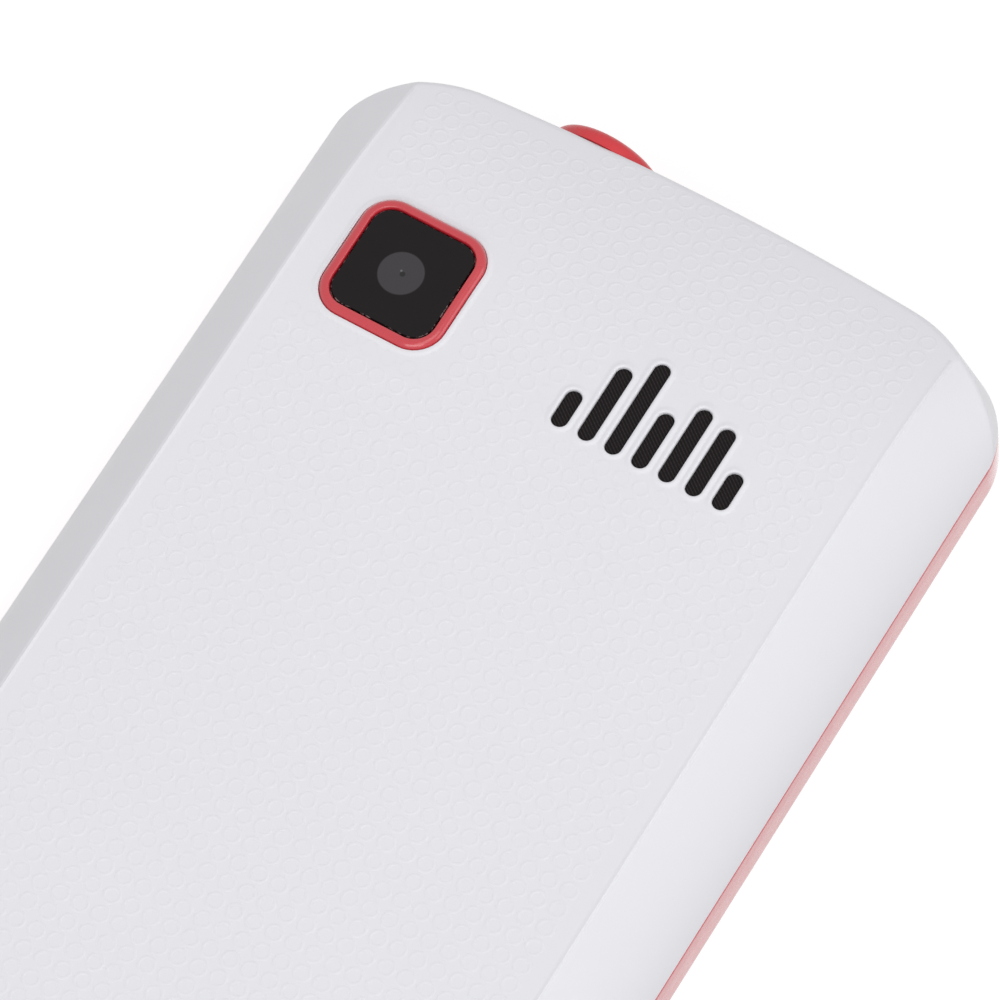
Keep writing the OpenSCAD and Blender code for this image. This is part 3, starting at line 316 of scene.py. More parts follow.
def combine(piece, other, operation="DIFFERENCE"):
    """Cuts another piece out of this one, or joins it on, and throws the other one away."""
    work_on(piece)
    step = piece.modifiers.new("combine", "BOOLEAN")
    step.operation = operation
    step.object = other
    step.solver = "EXACT"
    bpy.ops.object.modifier_apply(modifier=step.name)
    bpy.data.objects.remove(other, do_unlink=True)


def smooth(piece, angle):
    """Smooth shading that keeps hard edges, with large faces setting the direction at their edges."""
    work_on(piece)
    bpy.ops.object.shade_smooth_by_angle(angle=radians(angle))
    step = piece.modifiers.new("normals", "WEIGHTED_NORMAL")
    step.keep_sharp = True
    step.weight = 100
    bpy.ops.object.modifier_apply(modifier=step.name)


def dress(piece, finish, body, slot, *nodes):
    """Paints a new piece, lets it ride on a body, and hides the nodes it stands for."""
    piece.data.materials.clear()
    piece.data.materials.append(finish.material)
    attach(piece, body)
    if nodes:
        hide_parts(*nodes)
    print(piece.name, len(piece.data.vertices), "points")


def block(x0, x1, y0, y1, z0, z1):
    """Plain box of given limits, used only to cut or to join."""
    deselect_all()
    middle = ((x0 + x1) / 2 * MM, (y0 + y1) / 2 * MM, (z0 + z1) / 2 * MM)
    bpy.ops.mesh.primitive_cube_add(size=1, location=middle)
    piece = bpy.context.object
    piece.name = "cutter"
    piece.scale = ((x1 - x0) * MM, (y1 - y0) * MM, (z1 - z0) * MM)
    bpy.ops.object.transform_apply(location=True, rotation=True, scale=True)
    return piece


print("modelling helpers ready")

# %% [markdown]
# ## Outlines
# The phone's outline has straight sides, round corners and ends that arch very slightly. Higher up the
# cover is narrower while its ends stay, so there the straight sides cut into the round corners. The
# function below draws both: going round a corner it first follows a small arc that softens the cut,
# then the large arc of the corner. Rounded rectangles make the bezel and the slots.

# %% Outline functions
half_w, half_l, y_mid = 26.0, 61.0, -0.5
corner_r, end_arch_r = 5.5, 200.0
corner_steps, end_steps, side_steps, side_from = 24, 16, 16, 30.0
round_steps, flare_steps, collar_steps = 64, 6, 8
y_top, y_bot = y_mid + half_l, y_mid - half_l


def arch(x):
    """How far an end has fallen back at a distance from the middle."""
    return end_arch_r - sqrt(end_arch_r * end_arch_r - x * x)


def outline(side, end, r, z, plan=None, soft=0.0):
    """Ring at height z, in by side and end; corners of radius r in an outline that is in by plan."""
    plan = side if plan is None else plan
    wide, long = half_w - side, half_l - end
    big_x, big_y, soft_x = half_w - plan - r, half_l - end - r, wide - soft
    soft_y = big_y + sqrt(max(0.0, (r - soft) ** 2 - (soft_x - big_x) ** 2))
    meeting = atan2(soft_y - big_y, soft_x - big_x)
    turn = []
    for i in range(corner_steps + 1):
        a = pi / 2 * i / corner_steps
        cx, cy, cr = (soft_x, soft_y, soft) if a < meeting else (big_x, big_y, r)
        turn.append((cx + cr * cos(a), cy + cr * sin(a) - arch(cx + cr * cos(a))))
    run = turn[0][1] - side_from
    points = [(wide, side_from + run * i / side_steps) for i in range(side_steps)] + turn
    across = [turn[-1][0] * (1 - i / end_steps) for i in range(1, end_steps + 1)]
    points += [(x, long - arch(x)) for x in across]
    points += [(-x, y) for x, y in points[-2::-1]]
    return [(x, y_mid + y, z) for x, y in points] + [(-x, y_mid - y, z) for x, y in points]


def inset_outline(inset, z):
    """Ring at height z that is in by the same amount all round."""
    return outline(inset, inset, max(2, corner_r - inset), z)


def rounded(x, y, w, l, r, z, steps=10, sides=0):
    """Ring of a rounded rectangle at height z, with so many extra points on each straight side."""
    ring = []
    for cx, cy, start in ((1, 1, 0), (-1, 1, 90), (-1, -1, 180), (1, -1, 270)):
        for i in range(steps + 1):
            a = radians(start + 90 * i / steps)
            ring.append((x + cx * (w / 2 - r) + r * cos(a), y + cy * (l / 2 - r) + r * sin(a), z))
        across, along = (-cx * (w - 2 * r), 0) if cx == cy else (0, -cy * (l - 2 * r))
        px, py, _ = ring[-1]
        for i in range(1, sides + 1):
            share = i / (sides + 1)
            ring.append((px + across * share, py + along * share, z))
    return ring


full_turn = [2 * pi * i / round_steps for i in range(round_steps)]


def around_y(x, z, r, y):
    """Ring around a line along Y."""
    return [(x + r * cos(a), y, z + r * sin(a)) for a in full_turn]


def around_z(x, y, r, z):
    """Ring around a line along Z."""
    return [(x + r * cos(a), y + r * sin(a), z) for a in full_turn]


def quarter_turn(steps):
    """Angles of a quarter circle."""
    return [radians(90 * i / steps) for i in range(steps + 1)]


print("outline of", len(inset_outline(0, 0)), "points")

# %% [markdown]
# ## White moulded plastic
# The cover is white plastic with a satin skin. Under a strong lens such a skin has a very fine grain
# from the mould, and its white is never quite even. Both are done with noise: a little in the colour
# and the gloss, and a grain of a few thousandths of a millimetre as bump.

# %% White finish
cover_white = Finish("cover_white", specular_ior_level=0.4)
cloud = cover_white.noise(0.05)
cover_white.set(base_color=cloud.mix((0.800, 0.797, 0.838), (0.828, 0.825, 0.862)))
cover_white.set(roughness=cover_white.noise(0.4).ramp(0.2, 0.8) * 0.06 + 0.35)
cover_white.bump(cover_white.noise(9.0, 3.0), 0.004)
print("white finish ready")

# %% [markdown]
# ## Rear cover
# The cover is a thin shell. Its flanks rise in a curve from the rim to a crease that runs straight to
# both ends, its end walls are upright with a narrow round edge, and towards the ends the whole section
# sinks, so the panel bows. Stacked outlines make it: each ring is drawn in at the sides by the flank
# curve and at the ends by the round edge, and then lowered where the bow asks. The crease itself stands
# up as a ridge a few hundredths high, which gives it its thin bright line. The rings run from the inner
# ceiling down to the rim and up again outside, so the shell is one closed skin.

# %% Cover profile
body_t, z_cover, cover_wall = 13.0, 6.0, 1.2
cover_h = body_t - z_cover
flank_w, crease_angle, rim_angle = 4.8, radians(45), radians(80)
bow_top, bow_bottom = (45.0, 41.4), (52.5, 30.0)
crease_r, edge_r, top_corner_r, corner_soft = 0.35, 0.5, 9.5, 0.7
ridge = ((0.05, 0.95), (0.2, 0.1), (0.25, 0.0))
ridge_h = 0.045

flank_turn = cos(crease_angle) * tan(rim_angle) - sin(crease_angle)
flank_s = (flank_w * tan(rim_angle) - cover_h) / flank_turn
flank_x = flank_w - flank_s * cos(crease_angle)
flank_z = cover_h - flank_s * sin(crease_angle)


def flank_inset(height):
    """How far the flank has moved in at a height above the rim."""
    a, b = cover_h - 2 * flank_z, 2 * flank_z
    u = (sqrt(b * b + 4 * a * max(0.0, height)) - b) / (2 * a)
    return 2 * u * (1 - u) * flank_x + u * u * flank_w


def side_inset(drop):
    """Flank with its crease rounded."""
    if drop < crease_r * (1 - cos(crease_angle)):
        foot = flank_w + crease_r * tan(crease_angle / 2)
        return foot - crease_r * sin(acos(1 - drop / crease_r))
    return flank_inset(cover_h - drop)


def end_inset(drop):
    """How far the round end edge has moved in at a depth below the panel."""
    return edge_r * (1 - sin(acos(1 - drop / edge_r))) if drop < edge_r else 0.0


def corner(drop):
    """Corner radius of the outline at a depth below the panel."""
    return top_corner_r + (corner_r - top_corner_r) * drop / cover_h


def bowed(ring):
    """Lowers a ring's points towards the ends of the phone, and the rim not at all."""
    sunk = []
    for x, y, z in ring:
        bow_from, bow_r = bow_top if y > y_mid else bow_bottom
        reach = max(0.0, abs(y - y_mid) - bow_from)
        drop = bow_r - sqrt(bow_r * bow_r - reach * reach)
        sunk.append((x, y, z_cover + (z - z_cover) * (1 - drop / cover_h)))
    return sunk


rim_round = 0.12
flank_steps, edge_steps, crease_steps = 18, 8, 4
flank_low = cover_h - rim_round
flank_drops = [flank_low - (flank_low - edge_r) * i / flank_steps for i in range(flank_steps)]
edge_drops = [edge_r * (1 - cos(pi / 2 * i / edge_steps)) for i in range(edge_steps, -1, -1)]
crease_turns = [crease_angle * i / crease_steps for i in range(crease_steps - 1, 0, -1)]
crease_drops = [crease_r * (1 - cos(a)) for a in crease_turns]
drops = sorted(set(flank_drops + edge_drops + crease_drops), reverse=True)
inner_drops = [0.0, 0.06, 0.2, edge_r, 1.2, 2.0, 3.0, 4.2, cover_h - cover_wall]
panel_steps, panel_end, panel_side = 12, 17.0, 2.0
inner_soft = corner_soft - 0.2

rings = []
for i in range(panel_steps, 0, -1):
    s = i / panel_steps
    rings.append(outline(cover_wall + flank_w + panel_side * s, cover_wall + edge_r + panel_end * s,
                         top_corner_r - cover_wall, body_t - cover_wall,
                         cover_wall + panel_side * s, inner_soft))
for d in inner_drops:
    rings.append(outline(cover_wall + flank_inset(cover_h - d), cover_wall + end_inset(d),
                         corner(d) - cover_wall, body_t - cover_wall - d, cover_wall, inner_soft))
rings.append(outline(rim_round, rim_round, corner_r - rim_round, z_cover))
for d in drops:
    rings.append(outline(side_inset(d), end_inset(d), corner(d), body_t - d, 0.0, corner_soft))
straight = half_w - side_inset(0) - 0.001
rings[-1] = [(x, y, z + (ridge_h if abs(x) > straight else 0)) for x, y, z in rings[-1]]
for t, share in ridge:
    foot = outline(side_inset(0) + t, edge_r + t, top_corner_r - t, body_t, t, corner_soft - t)
    rings.append([(x, y, z + (ridge_h * share if abs(x) > straight - t else 0)) for x, y, z in foot])
for i in range(1, panel_steps + 1):
    s, t = i / panel_steps, ridge[-1][0]
    rings.append(outline(side_inset(0) + t + panel_side * s, edge_r + t + panel_end * s,
                         top_corner_r - t, body_t, t + panel_side * s, corner_soft - t))
cover = loft("cover_shell", [bowed(ring) for ring in rings])
print("cover rings:", len(rings))

# %% [markdown]
# ## Raised rings of the panel
# The panel's grip pattern is a square grid of raised rings, each 1.4 mm across and a few hundredths
# high. A bump would look right from one side only, so one ring is modelled, repeated by
# two Array modifiers, and every point is then set down on the cover's surface by a ray. Rings that
# would lie on the flanks, over the camera or among the slots are deleted. Towards the torch end the
# rings stand bolder.

# %% Ring pattern
ring_pitch_x, ring_pitch_y = 1.514, 1.498
ring_x, ring_y = 0.80, 0.849
ring_out, ring_crest, ring_in, ring_h = 0.69, 0.56, 0.43, 0.031
ring_sides, ring_rows, ring_columns = 16, 80, 28
ring_bolder, bolder_from, bolder_to = 0.22, 36.0, 52.0
ring_sunk, ring_reach, ring_steep, ring_least = 0.002, 20.9, 0.9, 0.05
ray_from = 100
clear_bezel, clear_slots, clear_side = (1.0, 1.7), (0.9, 1.5), (0.0, 0.5)
camera_x, camera_y, bezel_w, bezel_r = -13.7, 44.1, 9.5, 2.3
slots_x, slots_y, slot_w, slot_pitch = 7.2, 39.5, 1.21, 2.07
slot_lengths = (2.95, 6.0, 7.5, 4.5, 6.0, 5.5, 2.95)
slot_places = [(slots_x + (i - 3) * slot_pitch, length) for i, length in enumerate(slot_lengths)]

first_x = ring_x - ring_pitch_x * (ring_columns // 2)
first_y = ring_y - ring_pitch_y * (ring_rows // 2)
deselect_all()
centre = (first_x * MM, first_y * MM, 0)
bpy.ops.mesh.primitive_circle_add(vertices=ring_sides, radius=ring_out * MM, location=centre)
relief = bpy.context.object
relief.name = relief.data.name = "cover_rings"
bpy.ops.object.mode_set(mode="EDIT")
for radius, before, rise in ((ring_crest, ring_out, ring_h), (ring_in, ring_crest, -ring_h)):
    bpy.ops.mesh.extrude_edges_move(TRANSFORM_OT_translate={"value": (0, 0, rise * MM)})
    share = radius / before
    bpy.ops.transform.resize(value=(share, share, 1), center_override=centre)
bpy.ops.mesh.select_all(action="SELECT")
bpy.ops.mesh.normals_make_consistent(inside=False)
bpy.ops.object.mode_set(mode="OBJECT")
bpy.ops.object.transform_apply(location=True)
for count, offset in ((ring_columns, (ring_pitch_x, 0, 0)), (ring_rows, (0, ring_pitch_y, 0))):
    row = relief.modifiers.new("row", "ARRAY")
    row.count = count
    row.use_relative_offset = False
    row.use_constant_offset = True
    row.constant_offset_displace = Vector(offset) * MM
    bpy.ops.object.modifier_apply(modifier=row.name)


def off_square(x, y):
    """Distance from a place to the edge of the camera bezel."""
    return max(abs(x - camera_x), abs(y - camera_y)) - bezel_w / 2


def off_slots(x, y):
    """Distance from a place to the nearest speaker slot."""
    best = 99.0
    for slot_x, length in slot_places:
        reach = max(slots_y + slot_w / 2 - y, y - (slots_y + length - slot_w / 2), 0)
        best = min(best, hypot(x - slot_x, reach) - slot_w / 2)
    return best


def fade(value, low, high):
    """0 below low, 1 above high, straight between."""
    return min(1.0, max(0.0, (value - low) / (high - low)))


bpy.ops.object.mode_set(mode="EDIT")
mesh = bmesh.from_edit_mesh(relief.data)
mesh.verts.ensure_lookup_table()
ring_points = 3 * ring_sides
unwanted = []
for start in range(0, len(mesh.verts), ring_points):
    ring = mesh.verts[start:start + ring_points]
    middle = sum((p.co for p in ring), Vector()) / ring_points / MM
    height = fade(off_square(middle.x, middle.y), *clear_bezel)
    height *= fade(off_slots(middle.x, middle.y), *clear_slots)
    height *= fade(ring_reach - abs(middle.x), *clear_side)
    height *= 1 + ring_bolder * fade(middle.y, bolder_from, bolder_to)
    lands = []
    for point in ring:
        above = Vector((point.co.x, point.co.y, ray_from * MM))
        hit, spot, normal, _ = cover.ray_cast(above, Vector((0, 0, -1)))
        lands.append((point, spot if hit and normal.z > ring_steep else None))
    if height < ring_least or any(spot is None for _, spot in lands):
        unwanted += ring
        continue
    for point, spot in lands:
        point.co.z = spot.z + (point.co.z * height - ring_sunk * MM)
bmesh.ops.delete(mesh, geom=unwanted, context="VERTS")
bmesh.update_edit_mesh(relief.data)
bpy.ops.object.mode_set(mode="OBJECT")
bpy.ops.object.shade_smooth()
print("rings kept:", len(relief.data.vertices) // ring_points)

# %% [markdown]
# ## Slots, camera opening and rim cuts
# Around every slot and around the camera the panel swells into a low smooth lip. The lips are low
# stacks of grown outlines that are joined on first; the lips of the camera and of the longest slot
# follow the bow of the panel. The cutters then flare at their top, so that the edge they leave is
# round. Below the slots a shallow pocket takes the mesh.

# %% Lips and cuts
lip_h, lip_w = 0.075, 0.5
lip_profile = [(1.12, -3.0), (1.0, -0.004), (0.84, 0.1), (0.66, 0.5), (0.48, 0.9), (0.3, 1.0)]
flare_turns = quarter_turn(flare_steps)


def grown(opening, g, z, sides):
    """Outline of an opening, grown by g; with extra points on its sides it follows the bow."""
    x, y, w, l, r = opening
    ring = rounded(x, y, w + 2 * g, l + 2 * g, r + g, z, sides=sides)
    return bowed(ring) if sides else ring


def lip(opening, sides):
    """Low swelling around an opening."""
    levels = [(lip_w * share, body_t + lip_h * level) for share, level in lip_profile]
    return loft("lip", [grown(opening, g, z, sides) for g, z in levels])


def flared(opening, sides, z0, flare_r):
    """Cutter whose top widens in a quarter circle."""
    top = body_t + lip_h
    stack = [grown(opening, 0, z0, sides)]
    for a in flare_turns:
        stack.append(grown(opening, flare_r * (1 - cos(a)), top - flare_r * (1 - sin(a)), sides))
    stack.append(grown(opening, flare_r, top + 1, sides))
    return loft("cutter", stack)


z_deck, mesh_margin, slot_wall, pocket_gap, pocket_r = 11.3, 1.0, 0.6, 0.1, 1.0
bezel_gap, bezel_flare, slot_flare = 0.03, 0.06, 0.17
bow_points, bow_margin, slot_end_r = 8, 1, 0.499 * slot_w
camera_w = bezel_w + 2 * bezel_gap
openings = [(camera_x, camera_y, camera_w, camera_w, bezel_r + bezel_gap)]
for slot_x, length in slot_places:
    openings.append((slot_x, slots_y + length / 2, slot_w, length, slot_end_r))
on_bow = [True] + [slots_y + length > bow_top[0] + bow_margin for length in slot_lengths]
side_points = [bow_points if bent else 0 for bent in on_bow]
flares = [bezel_flare] + [slot_flare] * len(slot_lengths)
for opening, sides in zip(openings, side_points):
    combine(cover, lip(opening, sides), "UNION")
slots_w, slots_l = 6 * slot_pitch + slot_w, max(slot_lengths)
sheet_w, sheet_l, sheet_y = slots_w + 2 * mesh_margin, slots_l + 2 * mesh_margin, slots_y + slots_l / 2
pocket = [rounded(slots_x, sheet_y, sheet_w + pocket_gap, sheet_l + pocket_gap, pocket_r, z)
          for z in (z_deck, body_t - slot_wall)]
combine(cover, loft("cutter", pocket))
for opening, sides, flare_r in zip(openings, side_points, flares):
    combine(cover, flared(opening, sides, z_deck - 1, flare_r))
print("openings:", len(openings))

# %% [markdown]
# The rim has a round bite for the torch collar at the top end, and at the bottom end a bite for each
# socket and a small one for a fingernail. Six ribs inside the rim drop into notches of the frame.

# %% Rim cuts and ribs
torch_x, torch_r, torch_neck, torch_drop, torch_gap = -8.2, 4.3, 3.85, 0.4, 0.05
z_torch = z_cover - torch_drop
jack_x, z_jack, jack_bite = 14.0, 7.2, 2.5
usb_w, usb_z0, usb_z1 = 8.2, 4.5, 7.7
collar_reach = (y_top - 4, y_top + 2)
socket_reach = (y_bot - 2, y_bot + 4.7)
band_wall = 2.705
collar_back = y_top - arch(torch_x)
notch_x0, notch_x1, notch_l, notch_h = -16.5, -9.5, 1.2, 0.6
rib_shares, rib_w, rib_half, rib_h, rib_lift = (-0.62, -0.2, 0.3), 1.5, 1.5, 3, 0.02


def bore(x, z, r, reach):
    """Round cutter along Y between two places."""
    return loft("cutter", [around_y(x, z, r, y) for y in reach])


combine(cover, bore(torch_x, z_torch, torch_neck + torch_gap, collar_reach))
combine(cover, bore(torch_x, z_torch, torch_r + torch_gap, (collar_back - 0.01, collar_reach[1])))
combine(cover, bore(jack_x, z_jack, jack_bite, socket_reach))
combine(cover, block(jack_x - jack_bite, jack_x + jack_bite, *socket_reach, z_jack - jack_bite, z_jack))
combine(cover, block(-usb_w / 2, usb_w / 2, *socket_reach, usb_z0, usb_z1))
notch_y = y_bot + arch(half_w / 2)
combine(cover, block(notch_x0, notch_x1, notch_y - notch_l, notch_y + notch_l,
                     z_cover - notch_h, z_cover + notch_h))
for share in rib_shares:
    for side in (-1, 1):
        x0, x1 = sorted((side * (half_w - band_wall), side * (half_w - rib_w)))
        y = y_mid + share * half_l
        rib = block(x0, x1, y - rib_half, y + rib_half, z_cover + rib_lift, z_cover + rib_h)
        combine(cover, rib, "UNION")
smooth(cover, 28)
dress(cover, cover_white, "rear_cover", "cover_white", "rear_cover")
dress(relief, cover_white, "rear_cover", "cover_white")

# %% [markdown]
# ## Red gloss plastic
# The frame, the torch collar and the camera bezel are one red: a dyed plastic polished to a gloss.
# Seen at a low angle it mirrors the white room and turns pink, which the coat does by itself. Only the
# torch collar, beyond the end of the phone, is left satin, a clearer red, and its red is also painted
# lighter: painted light that stands for the light falling on the collar there.

# %% Red finish
frame_red = Finish("frame_red", coat_roughness=0.12, specular_ior_level=0.4)
dyed = frame_red.noise(0.08).mix((0.560, 0.020, 0.034), (0.600, 0.025, 0.040))
satin_r, satin_y = (torch_r + 0.02, torch_r + 0.1), (y_top - 0.35, y_top - 0.2)
off_collar = frame_red.from_line(torch_x, z=z_torch).ramp(*satin_r)
collar_mask = frame_red.y.ramp(*satin_y) * (1 - off_collar)
# Painted light: the collar's red is lighter than the frame's, standing for light that falls on it.
lit_collar_red = (0.66, 0.042, 0.052)
frame_red.set(base_color=collar_mask.mix(dyed, lit_collar_red), coat_weight=1 - collar_mask)
frame_red.set(roughness=frame_red.noise(0.9).ramp(0.2, 0.8) * 0.08 + 0.24)
frame_red.bump(frame_red.noise(6.0, 3.0), 0.003)
print("red finish ready")

# %% [markdown]
# ## Frame and torch collar
# The frame is a closed ring, so its stack of outlines runs once round its section: up the inner
# wall, over the tongue that guides the cover, down into the dark groove, over the coloured band and
# back below. The band's edges are rounded. The collar is turned like a pot around the lamp's axis, with
# a neck under the edge of the cover and a wider head outside, and joined on. The bores follow.

# %% Frame
z_band, z_groove, groove_d, tongue_h = 2.5, 5.92, 0.6, 0.6
tongue_inset = 2.005
band_h = z_groove - z_band
z_tongue, tongue_edge = z_cover + tongue_h, 0.1
section = [(band_wall, z_band), (band_wall, z_tongue), (tongue_inset + tongue_edge, z_tongue),
           (tongue_inset, z_tongue - tongue_edge), (tongue_inset, z_cover), (groove_d, z_cover),
           (groove_d, z_groove)]
section += [(inset, z_band + share * band_h) for inset, share in (
    (0.14, 1.0), (0.07, 0.985), (0.035, 0.96), (0.03, 0.85), (0.012, 0.72), (0.0, 0.6), (0.0, 0.1),
    (0.012, 0.05), (0.04, 0.0))]
band = loft("frame_ring", [inset_outline(inset, z) for inset, z in section], loop=True)

collar_in, collar_out, collar_edge, head_edge, neck_overlap = 0.6, 1.0, 0.8, 0.03, 0.3
collar_y0, collar_y1 = y_top - band_wall - collar_in, y_top + collar_out
seat_r, bore_r, seat_y = 2.55, 1.65, y_top - 0.7
turned = [(torch_neck, collar_y0), (torch_neck, collar_back), (torch_r - head_edge, collar_back),
          (torch_r, collar_back + head_edge)]
edge_r0, edge_y0 = torch_r - collar_edge, collar_y1 - collar_edge
for a in quarter_turn(collar_steps):
    turned.append((edge_r0 + collar_edge * cos(a), edge_y0 + collar_edge * sin(a)))
turned += [(seat_r + 0.2, collar_y1), (seat_r + 0.07, collar_y1 - 0.05), (seat_r, collar_y1 - 0.14),
           (seat_r, seat_y), (bore_r, seat_y), (bore_r, collar_y0)]
collar = loft("collar", [around_y(torch_x, z_torch, r, y) for r, y in turned], loop=True)
combine(band, bore(torch_x, z_torch, torch_neck - neck_overlap, collar_reach))
combine(band, collar, "UNION")
combine(band, bore(jack_x, z_jack, jack_bite, socket_reach))
combine(band, block(-usb_w / 2, usb_w / 2, *socket_reach, usb_z0, usb_z1))
notch_half, notch_deep, notch_in, notch_out = 1.65, 1.2, 0.5, 1.0
for share in rib_shares:
    y = y_mid + share * half_l
    for side in (-1, 1):
        x0, x1 = sorted((side * (half_w - band_wall - notch_in), side * (half_w - notch_out)))
        combine(band, block(x0, x1, y - notch_half, y + notch_half, z_cover, z_cover + notch_deep))
smooth(band, 32)
dress(band, frame_red, "phone_body", "frame_red", "mid_frame")

# %% [markdown]
# ## Camera bezel, glass and lens
# The bezel is a rounded-square ring that stands a little above the panel, with a soft outer edge and
# a steep wall that falls to the glass inside. Its section is again run once round. The glass is a flat
# plate with a ground edge, printed black except for a round spot; its edge is painted pale in dashes,
# partly the paler ground and partly painted glints of light.

# %% Bezel
bezel_proud = 0.35
bezel_top = body_t + bezel_proud
z_glass, barrel_hole = 12.35, 2.95
bezel_round, lip_in, glass_in, glass_sunk = 0.48, 0.66, 0.84, 0.16


def square_ring(inset, z):
    """Ring of the bezel's shape, in by an inset."""
    side = bezel_w - 2 * inset
    return rounded(camera_x, camera_y, side, side, bezel_r - inset, z, 16)


def barrel_ring(z):
    """Circle with its points in the same directions as the square's."""
    turns = [atan2(y - camera_y, x - camera_x) for x, y, _ in square_ring(glass_in, z)]
    return [(camera_x + barrel_hole * cos(a), camera_y + barrel_hole * sin(a), z) for a in turns]


stack = [square_ring(0, z_deck)]
for a in flare_turns:
    stack.append(square_ring(bezel_round * (1 - cos(a)), bezel_top - bezel_round * (1 - sin(a))))
for inset, drop in ((-0.05, 0.0), (0.0, 0.015), (0.03, 0.05), (0.08, 0.14), (0.11, 0.4)):
    stack.append(square_ring(lip_in + inset, bezel_top - drop))
stack.append(square_ring(lip_in + 0.12, z_glass))
stack += [barrel_ring(z_glass), barrel_ring(z_deck)]
bezel = loft("bezel_ring", stack, loop=True)
smooth(bezel, 36)
dress(bezel, frame_red, "phone_body", "frame_red", "camera_bezel")

# %% [markdown]
# The black of the glass is a little uneven, as printed ink is. Over the lens the ink is left out, and
# the coated lens is painted there as a grey disc with a darker iris and a paler point, the point being
# a painted highlight for a glint of light: masks on the distance from the camera's axis draw them. The
# edge faces are painted pale in noisy dashes, partly the paler ground edge and partly painted glints.

# %% Glass
window_ink = Finish("window_ink", specular_ior_level=0.16, roughness=0.04)
spot_x, spot_y = camera_x - 0.1, camera_y - 0.05
spot_r, spot_soft, iris_r, glint_r = 1.60, 0.06, 0.24, 0.12
iris_dx, glint_dx, glint_dy = 0.12, -0.08, 0.18
ink = window_ink.noise(0.6).mix((0.0075, 0.0056, 0.0064), (0.0100, 0.0076, 0.0085))
off_iris = window_ink.from_line(spot_x + iris_dx, spot_y).ramp(0.6 * iris_r, iris_r)
# Painted highlight: a paler point on the lens that stands for a glint of light.
off_glint = window_ink.from_line(spot_x + glint_dx, spot_y + glint_dy).ramp(0.3 * glint_r, glint_r)
off_spot = window_ink.from_line(spot_x, spot_y).ramp(spot_r - spot_soft, spot_r + spot_soft)
iris = off_iris.mix((0.026, 0.026, 0.027), (0.055, 0.051, 0.055))
face = off_spot.mix(off_glint.mix((0.150, 0.150, 0.155), iris), ink)
true_normal = window_ink.wire.node("NewGeometry", out=3)
facing = window_ink.wire.node("SeparateXYZ", None, {0: true_normal}, out=2)
# Painted highlight: the glass's edge faces get pale dashes, partly the paler ground edge and partly
# glints of light.
ground_and_glints = (1 - facing).ramp(0.1, 0.3) * window_ink.noise(2.5).ramp(0.48, 0.66)
window_ink.set(base_color=ground_and_glints.mix(face, (0.26, 0.21, 0.20)))
glass_w = bezel_w - 2 * glass_in


def glass_ring(inset, z):
    """Ring of the glass's shape, in by an inset."""
    side = glass_w - 2 * inset
    return rounded(camera_x, camera_y, side, side, bezel_r - glass_in - inset, z, 12)


glass_top, ground_w = bezel_top - glass_sunk, 0.05
glass = loft("camera_glass", [glass_ring(0, z_glass), glass_ring(0, glass_top - ground_w),
                              glass_ring(ground_w, glass_top)])
smooth(glass, 20)
dress(glass, window_ink, "phone_body", "window_black", "camera_window")

# %% [markdown]
# Behind the round spot of the glass sits the lens: a black barrel, a coated grey front element that
# bulges slightly, and a small iris in its middle.

# %% Lens
lens_grey = Finish("lens_coat", specular_ior_level=0.2, roughness=0.35)
lens_axis = lens_grey.from_line(camera_x, camera_y)
lens_iris, lens_edge = (0.22, 0.34), (1.45, 1.62)
iris, haze = lens_axis.ramp(*lens_iris), lens_axis.ramp(*lens_edge)
inner = iris.mix((0.030, 0.030, 0.032), (0.052, 0.052, 0.055))
lens_grey.set(base_color=haze.mix(inner, (0.012, 0.012, 0.013)))
lens_grey.bump(lens_grey.noise(3.0), 0.02, 0.3)
lens_r, z_lens, lens_rise = 1.6, 11.95, 0.16
barrel = [(2.7, 9.4), (2.7, 12.0), (2.62, 12.12), (2.2, 12.15), (1.75, 12.05), (lens_r, z_lens)]
for a in (radians(10 * i) for i in range(1, 9)):
    barrel.append((lens_r * cos(a), z_lens + lens_rise * sin(a)))
lens = loft("camera_lens_barrel", [around_z(camera_x, camera_y, r, z) for r, z in barrel])
smooth(lens, 40)
dress(lens, lens_grey, "phone_body", "lens_black", "camera_lens")

# %% [markdown]
# ## Speaker mesh
# Behind the slots lies a black woven mesh that is pressed up into every slot, close to the panel.
# Two crossed sets of fine stripes make the weave: their product lifts each thread and darkens the
# gaps. The pressed pads are low stacks of outlines joined onto the flat sheet.

# %% Mesh finish
mesh_black = Finish("mesh_black", roughness=0.6, specular_ior_level=0.15)
warp = mesh_black.wave((0.59, 0.81, 0), 4.6)
weft = mesh_black.wave((-0.81, 0.59, 0), 3.1)
thread = warp * warp * (weft * 0.45 + 0.55)
mesh_black.set(base_color=thread.mix((0.0030, 0.0018, 0.0022), (0.034, 0.026, 0.027)))
mesh_black.bump(thread, 0.05)
z_mesh, mesh_t, mesh_gap, pad_rise = 12.1, 0.3, 0.01, 0.42
sheet = [rounded(slots_x, sheet_y, sheet_w, sheet_l, pocket_r, z)
         for z in (z_mesh, z_mesh + mesh_t - mesh_gap)]
cloth = loft("speaker_cloth", sheet)
pad_profile = ((0.02, -0.2), (0.02, pad_rise - 0.06), (0.05, pad_rise - 0.015), (0.14, pad_rise))
for x, y, w, l, r in openings[1:]:
    pad = []
    for inset, rise in pad_profile:
        pad.append(rounded(x, y, w - 2 * inset, l - 2 * inset, r - inset, z_mesh + mesh_t + rise))
    combine(cloth, loft("pad", pad), "UNION")
smooth(cloth, 40)
dress(cloth, mesh_black, "rear_cover", "mesh_black", "speaker_mesh")

